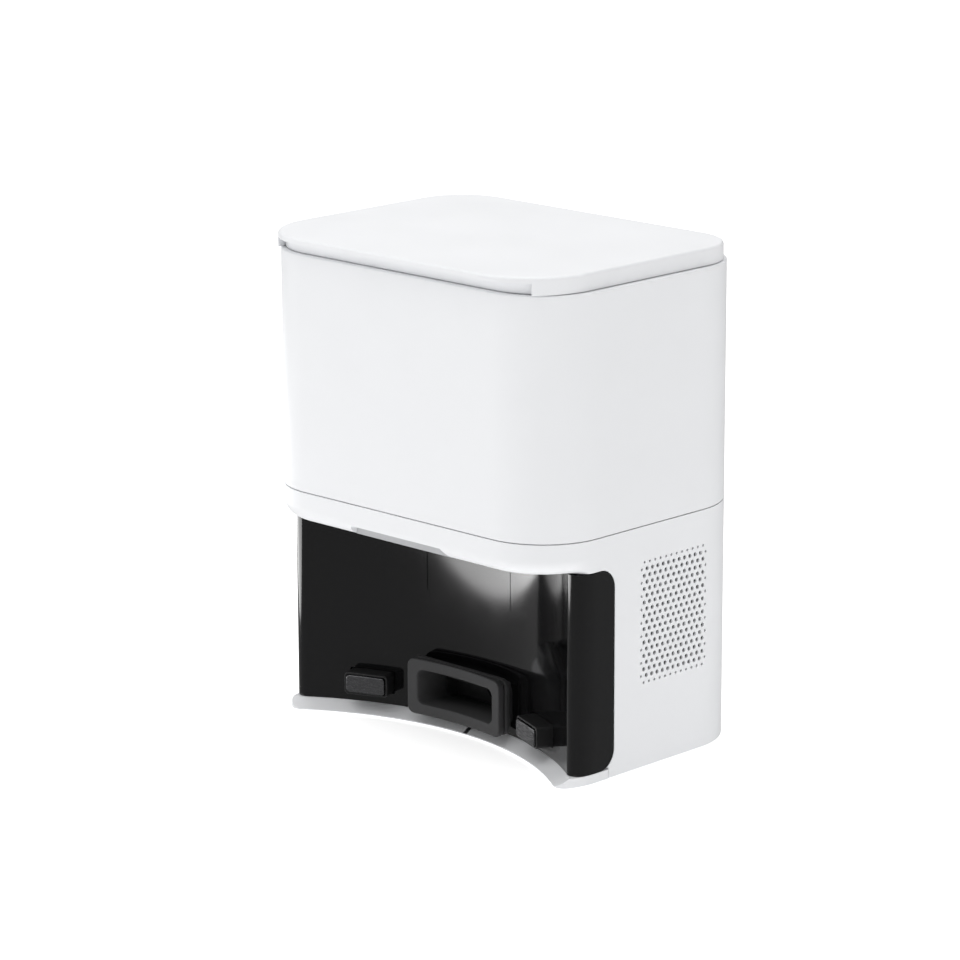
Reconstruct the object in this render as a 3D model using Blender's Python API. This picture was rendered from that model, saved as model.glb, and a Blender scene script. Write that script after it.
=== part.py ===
"""Self-emptying charging dock of a robot vacuum, modelled as separate parts that fit together.

The casing stands on four rubber feet. A robot backs into the curved bay at the front, a rubber
port draws its dust up a duct into a paper bag under the lid, and a fan beside the duct blows the
air out of the right-hand side. +Z is up and the bay opens towards -Y. The origin is the middle of
the footprint on the ground. All sizes are in metres.
"""
import math

import bmesh
import bpy
from mathutils import Matrix, Vector

# ---------------------------------------------------------------- driving dimensions
GAP = 0.0003                 # clearance between two parts that touch
WALL = 0.0024                # moulded wall thickness

WIDTH = 0.225                # casing, side to side
FRONT_Y = -0.0825            # casing front
BACK_Y = 0.0887              # casing back
FRONT_CORNER = 0.0395        # plan radius of the front corners
BACK_CORNER = 0.0459         # plan radius of the back corners
SEAM_Z = 0.1376              # joint between the lower and upper casings
SEAM_GAP = 0.0005
CASING_TOP = 0.2720
SKIRT_Z = 0.0013             # lower edge of the casing

LID_SIDE = 0.1096            # half width of the lid
LID_FRONT = -0.0887
LID_BACK = 0.0803
LID_FRONT_CORNER = 0.0422
LID_BACK_CORNER = 0.0317
LID_LOW = 0.2724
LID_TOP = 0.2821
SCOOP_HALF = 0.0967          # half width of the finger recess under the lid's front lip
SCOOP_TOP = 0.2789
LEDGE = 0.0029               # how far the lid's sides stand in from the casing

DOCK_Y = -0.2044             # centre of the docked robot
BAY_RADIUS = 0.181           # curved back wall of the bay
BAY_FLOOR = 0.0066
BAY_TOP = 0.1193
CHEEK_BACK = -0.0286         # rear edge of the liner's side cheeks
CHEEK_CORNER = 0.011
LINER_TIP = 0.0064           # rounding where the bay wall turns into a cheek
LIP_ROUND = 0.009            # rounding under the front lip
RAMP_RADIUS = 0.173          # foot of the sloped front edge of the base
BASE_LOW = 0.0010
BASE_TOP = 0.0063
BASE_FLOOR = 0.0034
BASE_TIP = 0.006             # rounding of the base's two front tips
BASE_SPLIT = -0.0330         # behind this line the base fits inside the casing

DUCT_RADIUS = 0.015          # outside of the round air duct
DUCT_BORE = 0.0128
DUCT_Z = 0.024               # height of the lower duct run
DUCT_Y = 0.0695              # riser position
NOZZLE_Z = 0.210             # height at which the duct enters the bag
DECK_LOW = 0.131
DECK_HIGH = 0.1336

FAN_X = 0.058                # fan motor axis
FAN_Y = 0.014
FAN_SHROUD = 0.038

HINGE_Y = 0.0776             # lid hinge axis
HINGE_Z = 0.2764
HINGE_X = 0.066              # middle of each hinge ear
CONTACT_ANGLE = math.radians(21.7)
CONTACT_RADIUS = 0.1697      # face of the charging contacts from the dock centre
COLLAR_RADIUS = 0.1687       # face of the suction port from the dock centre

FOOT_RADIUS = 0.008
FOOT_HEIGHT = 0.0019
SCREW_HEAD = 0.003           # radius of a base screw's head
SCREW_THREAD = 0.0013
PIN_RADIUS = 0.0015          # lid hinge pin
PIN_BORE = 0.0018
VENT_ROWS = 10               # exhaust slots in the right-hand wall
VENT_LOW = 0.0492
VENT_HIGH = 0.1174
VENT_SLOT = 0.0028           # height of one slot

FEET = [
    ("foot_front_left", -0.088, -0.030),
    ("foot_front_right", 0.088, -0.030),
    ("foot_back_left", -0.070, 0.068),
    ("foot_back_right", 0.070, 0.068),
]
SCREWS = [
    ("screw_front_left", -0.1045, -0.012),
    ("screw_front_right", 0.1045, -0.012),
    ("screw_back_left", -0.1045, 0.047),
    ("screw_back_right", 0.1045, 0.047),
]

CORNER_STEPS = 8
BAY_STEPS = 28

# ---------------------------------------------------------------- collections and materials
for item in list(bpy.data.objects):
    bpy.data.objects.remove(item, do_unlink=True)

PARTS = bpy.data.collections.new("auto_empty_dock")
CUTTERS = bpy.data.collections.new("cutters")
bpy.context.scene.collection.children.link(PARTS)
bpy.context.scene.collection.children.link(CUTTERS)


def make_material(name, colour, roughness, metallic=0.0):
    """A Principled material with one colour."""
    material = bpy.data.materials.new(name)
    material.use_nodes = True
    shader = material.node_tree.nodes["Principled BSDF"]
    shader.inputs["Base Color"].default_value = (*colour, 1.0)
    shader.inputs["Roughness"].default_value = roughness
    shader.inputs["Metallic"].default_value = metallic
    return material


WHITE_ABS = make_material("white_abs", (0.88, 0.88, 0.89), 0.38)
INNER_ABS = make_material("grey_abs", (0.55, 0.56, 0.57), 0.5)
BLACK_GLOSS = make_material("black_gloss_abs", (0.012, 0.012, 0.013), 0.12)
BLACK_MATT = make_material("black_matt_abs", (0.03, 0.03, 0.032), 0.5)
RUBBER = make_material("dark_rubber", (0.06, 0.06, 0.062), 0.7)
STEEL = make_material("steel", (0.55, 0.55, 0.55), 0.3, 1.0)
PAPER = make_material("bag_fleece", (0.75, 0.73, 0.68), 0.9)
CARD = make_material("bag_card", (0.62, 0.55, 0.43), 0.85)
FOAM = make_material("filter_foam", (0.12, 0.13, 0.15), 0.95)
BOARD = make_material("circuit_board", (0.02, 0.18, 0.08), 0.45)
LENS = make_material("light_lens", (0.7, 0.71, 0.72), 0.35)


# ---------------------------------------------------------------- outlines
def arc(centre_x, centre_y, radius, start, end, steps):
    """Points along an arc, with the angles in radians."""
    angles = [start + (end - start) * i / steps for i in range(steps + 1)]
    return [(centre_x + radius * math.cos(a), centre_y + radius * math.sin(a)) for a in angles]


def rounded(low_u, low_v, high_u, high_v, low_radius, high_radius=None, steps=6):
    """A rectangle whose lower and upper corners are rounded."""
    top = low_radius if high_radius is None else high_radius
    points = arc(high_u - low_radius, low_v + low_radius, low_radius, -math.pi / 2, 0, steps)
    points += arc(high_u - top, high_v - top, top, 0, math.pi / 2, steps)
    points += arc(low_u + top, high_v - top, top, math.pi / 2, math.pi, steps)
    points += arc(low_u + low_radius, low_v + low_radius, low_radius, math.pi, 1.5 * math.pi, steps)
    return points


def corner_circle(inset):
    """Centre and radius of the casing's front right corner, moved in by inset."""
    return WIDTH / 2 - FRONT_CORNER, FRONT_Y + FRONT_CORNER, FRONT_CORNER - inset


def casing(inset=0.0, front_cut=None):
    """Plan outline of the casing moved in by inset, and cut off in front of a line if given."""
    centre_x, centre_y, radius = corner_circle(inset)
    start = -math.pi / 2
    head = []
    if front_cut is not None and front_cut < centre_y:
        start = math.asin((front_cut - centre_y) / radius)
    if front_cut is not None and front_cut >= centre_y:
        start = 0.0
        head = [(WIDTH / 2 - inset, front_cut)]
    right = head if head else arc(centre_x, centre_y, radius, start, 0, CORNER_STEPS)
    back_x = WIDTH / 2 - BACK_CORNER
    back_y = BACK_Y - BACK_CORNER
    right = right + arc(back_x, back_y, BACK_CORNER - inset, 0, math.pi / 2, CORNER_STEPS)
    return right + [(-x, y) for x, y in reversed(right)]


def crossing(radius_a, centre_b, radius_b):
    """Right-hand crossing of a circle about the dock centre with another circle."""
    dx = centre_b[0]
    dy = centre_b[1] - DOCK_Y
    distance = math.hypot(dx, dy)
    along = (radius_a ** 2 - radius_b ** 2 + distance ** 2) / (2 * distance)
    across = math.sqrt(radius_a ** 2 - along ** 2)
    x = (dx * along + dy * across) / distance
    y = DOCK_Y + (dy * along - dx * across) / distance
    return x, y


def behind_bay(inset, bay_radius, tip=0.0):
    """Casing outline moved in by inset, its front cut to a circle about the dock centre.

    The two front tips are rounded where a tip radius is given.
    """
    centre_x, centre_y, radius = corner_circle(inset)
    x, y = crossing(bay_radius + tip, (centre_x, centre_y), radius - tip)
    start = math.atan2(y - centre_y, x - centre_x)
    face_end = math.atan2(y - DOCK_Y, x)
    right = arc(x, y, tip, face_end - math.pi, start, 6)[:-1] if tip else []
    right += arc(centre_x, centre_y, radius, start, 0, CORNER_STEPS)
    back_x = WIDTH / 2 - BACK_CORNER
    back_y = BACK_Y - BACK_CORNER
    right += arc(back_x, back_y, BACK_CORNER - inset, 0, math.pi / 2, CORNER_STEPS)
    front = arc(0, DOCK_Y, bay_radius, math.pi - face_end, face_end, BAY_STEPS)
    return right + [(-u, v) for u, v in reversed(right)] + front[1:-1]


def liner_outline():
    """Plan of the bay liner: curved wall, round tips, and a cheek folded back on each side."""
    thickness = WALL
    inset = 0.00015
    centre_x, centre_y, radius = corner_circle(inset)
    tip_x, tip_y = crossing(BAY_RADIUS + LINER_TIP, (centre_x, centre_y), radius - LINER_TIP)
    face_end = math.atan2(tip_y - DOCK_Y, tip_x)
    turn = math.atan2(tip_y - centre_y, tip_x - centre_x)
    half = BAY_STEPS // 2
    points = arc(0, DOCK_Y, BAY_RADIUS, math.pi / 2, face_end, half)
    points += arc(tip_x, tip_y, LINER_TIP, face_end - math.pi, turn, 7)[1:-1]
    points += arc(centre_x, centre_y, radius, turn, 0, 5)
    side = WIDTH / 2 - inset
    points += [(side, CHEEK_BACK), (side - thickness, CHEEK_BACK)]
    points += arc(centre_x, centre_y, radius - thickness, 0, turn, 4)
    points += arc(tip_x, tip_y, LINER_TIP - thickness, turn, face_end - math.pi, 5)[1:-1]
    points += arc(0, DOCK_Y, BAY_RADIUS + thickness, face_end, math.pi / 2, half)
    return points + [(-x, y) for x, y in reversed(points[1:-1])]


# ---------------------------------------------------------------- solids
AXES = {
    "Z": Matrix.Identity(4),
    "X": Matrix(((0, 0, 1, 0), (1, 0, 0, 0), (0, 1, 0, 0), (0, 0, 0, 1))),
    "Y": Matrix(((1, 0, 0, 0), (0, 0, 1, 0), (0, 1, 0, 0), (0, 0, 0, 1))),
}


def add_object(name, mesh, material=None):
    """Put a mesh into the parts, or among the cutters where it has no material."""
    thing = bpy.data.objects.new(name, mesh)
    if material is None:
        CUTTERS.objects.link(thing)
        thing.hide_render = True
        thing.display_type = "WIRE"
    else:
        PARTS.objects.link(thing)
        mesh.materials.append(material)
    return thing


def tidy_mesh(mesh, matrix, dissolve):
    """Weld the caps, turn the solid to its axis and point its faces outwards."""
    flat_angle = math.radians(0.2)
    work = bmesh.new()
    work.from_mesh(mesh)
    bmesh.ops.remove_doubles(work, verts=work.verts, dist=1e-6)
    if dissolve:
        bmesh.ops.dissolve_limit(work, angle_limit=flat_angle, verts=work.verts, edges=work.edges)
    bmesh.ops.transform(work, matrix=matrix, verts=work.verts)
    bmesh.ops.recalc_face_normals(work, faces=work.faces)
    work.to_mesh(mesh)
    work.free()


def slab(name, outlines, low, high, material=None, axis="Z"):
    """A flat outline, with any holes after it, extruded from low to high along an axis."""
    curve = bpy.data.curves.new(name, "CURVE")
    curve.dimensions = "2D"
    curve.fill_mode = "BOTH"
    curve.extrude = (high - low) / 2
    for outline in outlines:
        spline = curve.splines.new("POLY")
        spline.points.add(len(outline) - 1)
        for point, (u, v) in zip(spline.points, outline):
            point.co = (u, v, 0, 1)
        spline.use_cyclic_u = True
    guide = bpy.data.objects.new(name + "_outline", curve)
    CUTTERS.objects.link(guide)
    graph = bpy.context.evaluated_depsgraph_get()
    mesh = bpy.data.meshes.new_from_object(guide.evaluated_get(graph))
    bpy.data.objects.remove(guide)
    bpy.data.curves.remove(curve)
    mesh.name = name
    middle = Matrix.Translation((0, 0, (low + high) / 2))
    tidy_mesh(mesh, AXES[axis] @ middle, dissolve=len(outlines) == 1)
    return add_object(name, mesh, material)


def block(name, low, high, material=None, bevel=0.0, segments=1):
    """A box between two corners, with its edges rounded if asked."""
    size = [b - a for a, b in zip(low, high)]
    work = bmesh.new()
    bmesh.ops.create_cube(work, size=1.0)
    bmesh.ops.scale(work, vec=size, verts=work.verts)
    if bevel:
        bmesh.ops.bevel(work, geom=work.edges[:], offset=bevel, segments=segments,
                        affect="EDGES", profile=0.5)
    mesh = bpy.data.meshes.new(name)
    work.to_mesh(mesh)
    work.free()
    thing = add_object(name, mesh, material)
    thing.location = [(a + b) / 2 for a, b in zip(low, high)]
    return thing


def rod(name, radius, low, high, across, axis="Z", material=None, sides=32, top_radius=None):
    """A cylinder or cone along an axis; across is its place in the other two directions."""
    end_radius = radius if top_radius is None else top_radius
    work = bmesh.new()
    bmesh.ops.create_cone(work, cap_ends=True, segments=sides, radius1=radius, radius2=end_radius,
                          depth=high - low)
    middle = (low + high) / 2
    turn = Matrix.Identity(4)
    place = (across[0], across[1], middle)
    if axis == "X":
        turn = Matrix.Rotation(math.pi / 2, 4, "Y")
        place = (middle, across[0], across[1])
    if axis == "Y":
        turn = Matrix.Rotation(-math.pi / 2, 4, "X")
        place = (across[0], middle, across[1])
    bmesh.ops.transform(work, matrix=turn, verts=work.verts)
    mesh = bpy.data.meshes.new(name)
    work.to_mesh(mesh)
    work.free()
    thing = add_object(name, mesh, material)
    thing.location = place
    return thing


def ring(name, outer, inner, low, high, centre, material, sides=32):
    """A flat washer about the Z axis through centre."""
    around = arc(centre[0], centre[1], outer, 0, 2 * math.pi, sides)[:-1]
    within = arc(centre[0], centre[1], inner, 0, 2 * math.pi, sides)[:-1]
    return slab(name, [around, within], low, high, material)


def carve(thing, *cutters):
    """Cut each of the cutters out of a part."""
    for cutter in cutters:
        cut = thing.modifiers.new("cut_" + cutter.name, "BOOLEAN")
        cut.operation = "DIFFERENCE"
        cut.object = cutter
    return thing


def fuse(thing, *others):
    """Join solids to a part; they must overlap it."""
    for other in others:
        join = thing.modifiers.new("join_" + other.name, "BOOLEAN")
        join.operation = "UNION"
        join.object = other
    return thing


def round_rim(thing, height, width, segments):
    """Round the rim where a solid's sides meet its flat end at the given height."""
    work = bmesh.new()
    work.from_mesh(thing.data)
    near = 1e-5
    rim = []
    for edge in work.edges:
        level = all(abs(v.co.z - height) < near for v in edge.verts)
        if level and len(edge.link_faces) == 2 and edge.calc_face_angle() > 1.0:
            rim.append(edge)
    bmesh.ops.bevel(work, geom=rim, offset=width, segments=segments, affect="EDGES", profile=0.5)
    work.to_mesh(thing.data)
    work.free()
    return thing


def shade(thing, degrees=35.0):
    """Shade a round part smooth but keep its hard edges."""
    thing.data.shade_smooth()
    thing.data.set_sharp_from_angle(angle=math.radians(degrees))
    return thing


def joint_frame(name, place, members):
    """An empty on a joint's axis that carries the moving parts."""
    empty = bpy.data.objects.new(name, None)
    empty.location = place
    PARTS.objects.link(empty)
    for member in members:
        member.parent = empty
        member.matrix_parent_inverse = Matrix.Translation(-Vector(place))
    return empty


# ---------------------------------------------------------------- casings
def side_opening(name, margin):
    """Side view of the bay and cheeks, used to cut the casing and to shape the liner."""
    low = BAY_FLOOR - margin
    high = BAY_TOP - 0.0003 + margin
    back = CHEEK_BACK + margin
    radius = CHEEK_CORNER + margin
    front = FRONT_Y - 0.02
    outline = [(front, low)]
    outline += arc(back - radius, low + radius, radius, -math.pi / 2, 0, 6)
    outline += arc(back - radius, high - radius, radius, 0, math.pi / 2, 6)
    outline += [(front, high)]
    return slab(name, [outline], -WIDTH, WIDTH, axis="X")


def vent_slots(name):
    """Cutters for a row of flat slots, one above the other, through the right-hand wall."""
    slots = []
    pitch = (VENT_HIGH - VENT_LOW) / VENT_ROWS
    for i in range(VENT_ROWS):
        low = VENT_LOW + pitch * (i + 0.5) - VENT_SLOT / 2
        slots.append(block(f"{name}_{i}", (0.104, -0.0071, low), (0.120, 0.0452, low + VENT_SLOT)))
    return slots


def make_lower_housing():
    """Lower casing: back and side skin, and the rounded front lip that hangs over the bay."""
    top = SEAM_Z - SEAM_GAP / 2
    lip_depth = 0.012
    lip_height = 0.0103
    housing = slab("lower_housing", [casing()], BAY_TOP, top, WHITE_ABS)
    round_rim(housing, BAY_TOP, LIP_ROUND, 4)
    skin = slab("lower_skin", [casing(front_cut=-0.057)], SKIRT_Z, top)
    rear_hollow = slab("rear_hollow", [casing(WALL, front_cut=CHEEK_BACK - 0.001)], -0.01, 0.15)
    lip_hollow = slab("lip_hollow", [casing(lip_depth)], BAY_TOP - 0.01, 0.15)
    top_hollow = slab("top_hollow", [casing(WALL)], BAY_TOP + lip_height, 0.15)
    toe = block("toe_cut", (-0.2, -0.2, -0.01), (0.2, BASE_SPLIT + GAP, BAY_FLOOR + 0.001))
    low_cut = CHEEK_BACK - CHEEK_CORNER - 0.001
    low_hollow = slab("low_hollow", [casing(WALL, front_cut=low_cut)], -0.01, 0.1)
    light = slab("light_notch", [light_outline(0.0)], -0.1, -0.068, axis="Y")
    inlet = block("inlet_hole", (-0.0705, 0.07, 0.0135), (-0.0495, 0.1, 0.0285))
    fuse(housing, skin)
    carve(housing, rear_hollow, lip_hollow, top_hollow, side_opening("bay_cut", GAP))
    carve(housing, toe, low_hollow, light, inlet)
    carve(housing, *vent_slots("vent_slot"))
    for name, x, y in SCREWS:
        fuse(housing, rod("boss_" + name, 0.0065, BASE_TOP + GAP, 0.03, (x, y), sides=20))
        carve(housing, rod("boss_hole_" + name, 0.0016, 0.0, 0.026, (x, y), sides=12))
    return housing


def light_outline(inset):
    """Front view of the status light's slot, rounded at its left end and tapered at its right."""
    half = 0.037 - inset
    low = 0.1172 if inset == 0.0 else BAY_TOP + inset
    high = 0.1250 - inset
    left = arc(-half + 0.003, high - 0.003, 0.003, math.pi / 2, math.pi, 5)
    shoulder = BAY_TOP + 0.0015 - inset
    return left + [(-half, low), (half, low), (half, shoulder), (half - 0.004 - inset, high)]


def make_upper_housing():
    """Upper casing: a tube closed by a top plate with the opening for the bag chamber."""
    low = SEAM_Z + SEAM_GAP / 2
    housing = slab("upper_housing", [casing()], low, CASING_TOP, WHITE_ABS)
    round_rim(housing, CASING_TOP, 0.0008, 1)
    hollow = slab("upper_hollow", [casing(WALL)], 0.1, CASING_TOP - WALL)
    mouth = slab("chamber_mouth", [rounded(-0.100, -0.072, 0.100, 0.048, 0.024)], 0.2, 0.3)
    carve(housing, hollow, mouth)
    for sign in (-1, 1):
        x = sign * HINGE_X
        ear = block(f"ear_slot_{sign + 1}", (x - 0.0056, 0.0736, 0.25), (x + 0.0056, 0.0816, 0.28))
        carve(housing, ear)
    return housing


def make_base():
    """White base: a tray that fits inside the casing behind and slopes down to the robot in front."""
    base = slab("base_pan", [behind_bay(0.00015, RAMP_RADIUS, BASE_TIP)], BASE_LOW, BASE_TOP, WHITE_ABS)
    rear_trim = block("rear_trim", (-0.2, BASE_SPLIT, -0.01), (0.2, 0.2, 0.02))
    tray = slab("base_tray", [behind_bay(WALL + GAP, RAMP_RADIUS + GAP)], BASE_LOW, BASE_TOP)
    carve(base, rear_trim)
    fuse(base, tray)
    slope = (BAY_RADIUS - RAMP_RADIUS) / (BASE_TOP - 0.0016)
    reach = 0.004
    ramp = rod("ramp_cut", RAMP_RADIUS - slope * 0.0016, 0.0, BASE_TOP + reach, (0, DOCK_Y),
               sides=96, top_radius=BAY_RADIUS + slope * reach)
    pocket = slab("base_pocket", [behind_bay(2 * WALL + GAP, BAY_RADIUS + 0.0055)], BASE_FLOOR, 0.02)
    carve(base, ramp, pocket)
    for name, x, y in FEET:
        pocket_radius = FOOT_RADIUS + GAP
        pocket_top = FOOT_HEIGHT + GAP
        carve(base, rod("pocket_" + name, pocket_radius, -0.01, pocket_top, (x, y), sides=24))
    for name, x, y in SCREWS:
        carve(base, rod("head_" + name, 0.0034, -0.01, 0.0026, (x, y), sides=16))
        carve(base, rod("shank_" + name, 0.0017, -0.01, 0.02, (x, y), sides=12))
    return base


def make_feet_and_screws():
    """Rubber feet in the base's pockets, and the screws that hold the base to the casing."""
    for name, x, y in FEET:
        shade(rod(name, FOOT_RADIUS, 0.0, FOOT_HEIGHT, (x, y), material=RUBBER, sides=24))
    for name, x, y in SCREWS:
        screw = rod(name, SCREW_HEAD, 0.0006 + BASE_LOW, 0.0022, (x, y), material=STEEL, sides=16)
        shank = rod("thread_" + name, SCREW_THREAD, 0.0020, 0.0160, (x, y), sides=10)
        shade(fuse(screw, shank))


def make_liner():
    """Gloss black liner: the bay's curved wall with a cheek folded round each side."""
    low = BAY_FLOOR
    high = BAY_TOP - 0.0004
    liner = slab("bay_liner", [liner_outline()], low, high, BLACK_GLOSS)
    back = CHEEK_BACK + 0.005
    for low_end in (True, False):
        edge = low if low_end else high
        step = CHEEK_CORNER if low_end else -CHEEK_CORNER
        outer = edge - step * 0.4
        centre_y = CHEEK_BACK - CHEEK_CORNER
        centre_z = edge + step
        turn = -math.pi / 2 if low_end else math.pi / 2
        curve = arc(centre_y, centre_z, CHEEK_CORNER, turn, 0, 6)
        outline = curve + [(back, centre_z), (back, outer), (centre_y, outer)]
        for sign in (-1, 1):
            ends = sorted((sign * 0.1085, sign * 0.13))
            label = f"cheek_corner_{'low' if low_end else 'high'}_{'left' if sign < 0 else 'right'}"
            carve(liner, slab(label, [outline], ends[0], ends[1], axis="X"))
    window = block("window_cut", (-0.033, -0.04, 0.078), (0.033, 0.0, 0.13))
    port = slab("port_cut", [rounded(-0.0342, 0.0113, 0.0342, 0.0372, 0.006)], -0.06, 0.0, axis="Y")
    carve(liner, window, port)
    for sign in (-1, 1):
        hole = contact_box(f"contact_hole_{sign + 1}", sign, (0.17, 0.20), 0.0139, (0.0128, 0.0261))
        carve(liner, hole)
    return liner


def make_ceiling():
    """Black plate that closes the top of the bay behind the lip."""
    plate = slab("bay_ceiling", [casing(0.0123)], BAY_TOP + GAP, BAY_TOP + 0.0023, BLACK_MATT)
    return carve(plate, slab("ceiling_cut", [behind_bay(0.001, BAY_RADIUS + 0.0040)], 0.1, 0.2))


def make_light():
    """Status light: a frosted lens in the lip and a strip of circuit board behind it."""
    slab("status_lens", [light_outline(GAP)], -0.0765, -0.0709, LENS, axis="Y")
    block("status_board", (-0.033, -0.0696, 0.1222), (0.033, -0.0680, 0.1290), BOARD)


def make_window():
    """Infrared window at the top of the bay wall, and the beacon board behind it."""
    low = math.radians(90 - 10.2)
    high = math.radians(90 + 10.2)
    outer = arc(0, DOCK_Y, BAY_RADIUS, low, high, 8)
    inner = arc(0, DOCK_Y, BAY_RADIUS + WALL, high, low, 8)
    slab("ir_window", [outer + inner], 0.0783, BAY_TOP - 0.0004, BLACK_GLOSS)
    board = block("beacon_board", (-0.026, -0.0180, 0.086), (0.026, -0.0164, 0.110), BOARD)
    for x in (-0.018, 0.0, 0.018):
        lamp = rod(f"beacon_lamp_{x:.3f}", 0.0025, -0.0205, -0.017, (x, 0.098), axis="Y", sides=12)
        fuse(board, lamp)


# ---------------------------------------------------------------- lid
def lid_outline(inset=0.0):
    """Plan of the lid, moved in by inset."""
    low = LID_FRONT_CORNER - inset
    high = LID_BACK_CORNER - inset
    return rounded(-LID_SIDE + inset, LID_FRONT + inset, LID_SIDE - inset, LID_BACK - inset,
                   low, high, steps=10)


def make_lid():
    """Lid: a shallow shell whose front lip overhangs a recess for the fingers."""
    lid = slab("lid", [lid_outline()], LID_LOW, LID_TOP, WHITE_ABS)
    round_rim(lid, LID_TOP, 0.0018, 3)
    collar = casing(LEDGE)
    around = rounded(-SCOOP_HALF, LID_FRONT - 0.02, SCOOP_HALF, 0.0, 0.001, 0.001, steps=1)
    scoop = slab("scoop", [around], 0.26, SCOOP_TOP)
    keep = slab("lid_collar", [collar], 0.25, 0.29)
    carve(scoop, keep)
    inside = rounded(-0.1072, FRONT_Y + LEDGE + WALL, 0.1072, 0.0715, 0.034, 0.024)
    hollow = slab("lid_hollow", [inside], 0.26, LID_TOP - WALL)
    heel_line = HINGE_Z - HINGE_Y - 0.0051
    heel = slab("lid_heel", [[(0.081, 0.081 + heel_line), (0.076, 0.271), (0.085, 0.271)]],
                -0.100, 0.100, axis="X")
    carve(lid, scoop, hollow, heel)
    for sign in (-1, 1):
        x = sign * HINGE_X
        notch = block(f"lid_notch_{sign + 1}", (x - 0.006, 0.0733, 0.26), (x + 0.006, 0.09, 0.2803))
        bore = rod(f"lid_bore_{sign + 1}", PIN_BORE, x - 0.0115, x + 0.0115, (HINGE_Y, HINGE_Z),
                   axis="X", sides=12)
        carve(lid, notch, bore)
    seal_out = rounded(-0.1045, -0.0742, 0.1045, 0.0525, 0.026)
    seal_in = rounded(-0.1015, -0.0712, 0.1015, 0.0495, 0.023)
    seal = slab("lid_seal", [seal_out, seal_in], LID_LOW + GAP, LID_TOP - WALL - GAP, RUBBER)
    magnet = rod("lid_magnet", 0.004, 0.2735, LID_TOP - WALL - GAP, (0.085, 0.063),
                 material=STEEL, sides=20)
    members = [lid, seal, magnet]
    for sign, side in ((-1, "left"), (1, "right")):
        x = sign * HINGE_X
        members.append(rod("hinge_pin_" + side, PIN_RADIUS, x - 0.011, x + 0.011, (HINGE_Y, HINGE_Z),
                           axis="X", material=STEEL, sides=12))
        make_bracket("hinge_bracket_" + side, x)
    joint_frame("lid_hinge_axis", (0.0, HINGE_Y, HINGE_Z), members)


def make_bracket(name, x):
    """Hinge ear: a foot under the top plate and an upright with the pin's hole at its top."""
    radius = 0.0034
    foot_top = CASING_TOP - WALL - GAP
    upright = arc(HINGE_Y, HINGE_Z, radius, 0, math.pi, 8)
    upright += [(HINGE_Y - radius, foot_top - 0.003), (HINGE_Y + radius, foot_top - 0.003)]
    ear = slab(name, [upright], x - 0.005, x + 0.005, STEEL, axis="X")
    foot = block("foot_" + name, (x - 0.014, 0.0700, foot_top - 0.003), (x + 0.014, 0.0825, foot_top))
    hole = rod("bore_" + name, PIN_BORE, x - 0.02, x + 0.02, (HINGE_Y, HINGE_Z), axis="X", sides=12)
    fuse(ear, foot)
    return carve(ear, hole)


# ---------------------------------------------------------------- port, duct and bag
def make_port():
    """Rubber suction port: a flange facing the robot and a neck that slides into the duct mouth."""
    collar = slab("port_collar", [rounded(-0.036, 0.0079, 0.036, 0.0404, 0.0046)], -0.060, -0.0305,
                  RUBBER, axis="Y")
    neck = slab("port_neck", [rounded(-0.033, 0.0125, 0.033, 0.036, 0.005)], -0.050, -0.0150, axis="Y")
    opening = slab("port_opening", [rounded(-0.029, 0.0145, 0.029, 0.0342, 0.004)], -0.08, 0.0, axis="Y")
    face = rod("port_face", COLLAR_RADIUS, 0.0, 0.05, (0, DOCK_Y), sides=96)
    fuse(collar, neck)
    carve(collar, face, opening)
    joint_frame("port_slide_axis", (0.0, DOCK_Y + COLLAR_RADIUS, 0.02425), [collar])


def make_duct():
    """Air path: mouth behind the port, an elbow up to the deck, and a riser into the bag."""
    mouth = slab("duct_mouth", [rounded(-0.037, 0.0080, 0.037, 0.040, 0.003)], -0.0205, 0.002,
                 BLACK_MATT, axis="Y")
    socket = slab("mouth_socket", [rounded(-0.0348, 0.0102, 0.0348, 0.0378, 0.002)], -0.05, -0.0004,
                  axis="Y")
    outlet = rod("mouth_outlet", DUCT_BORE, -0.01, 0.01, (0, DUCT_Z), axis="Y", sides=24)
    carve(mouth, socket, outlet)
    fuse(mouth, block("mouth_vane", (-0.0355, -0.0110, 0.0232), (0.0355, -0.0030, 0.0250)))
    make_tube("duct_elbow", lower_route)
    make_tube("duct_riser", upper_route)
    ring("duct_seal", 0.0164, DUCT_BORE, 0.1368, 0.1392, (0, DUCT_Y), RUBBER, sides=24)


def lower_route(trim):
    """Route of the lower duct, lengthened by trim at both ends."""
    bend = 0.022
    points = [(0, 0.0023 - trim, DUCT_Z)]
    points += [(0, y, z) for y, z in
               arc(DUCT_Y - bend, DUCT_Z + bend, bend, -math.pi / 2, 0, 7)]
    return points + [(0, DUCT_Y, 0.1365 + trim)]


def upper_route(trim):
    """Route of the upper duct, lengthened by trim at both ends."""
    bend = 0.020
    points = [(0, DUCT_Y, 0.1395 - trim)]
    points += [(0, y, z) for y, z in arc(DUCT_Y - bend, NOZZLE_Z - bend, bend, 0, math.pi / 2, 7)]
    return points + [(0, 0.0465 - trim, NOZZLE_Z)]


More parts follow.
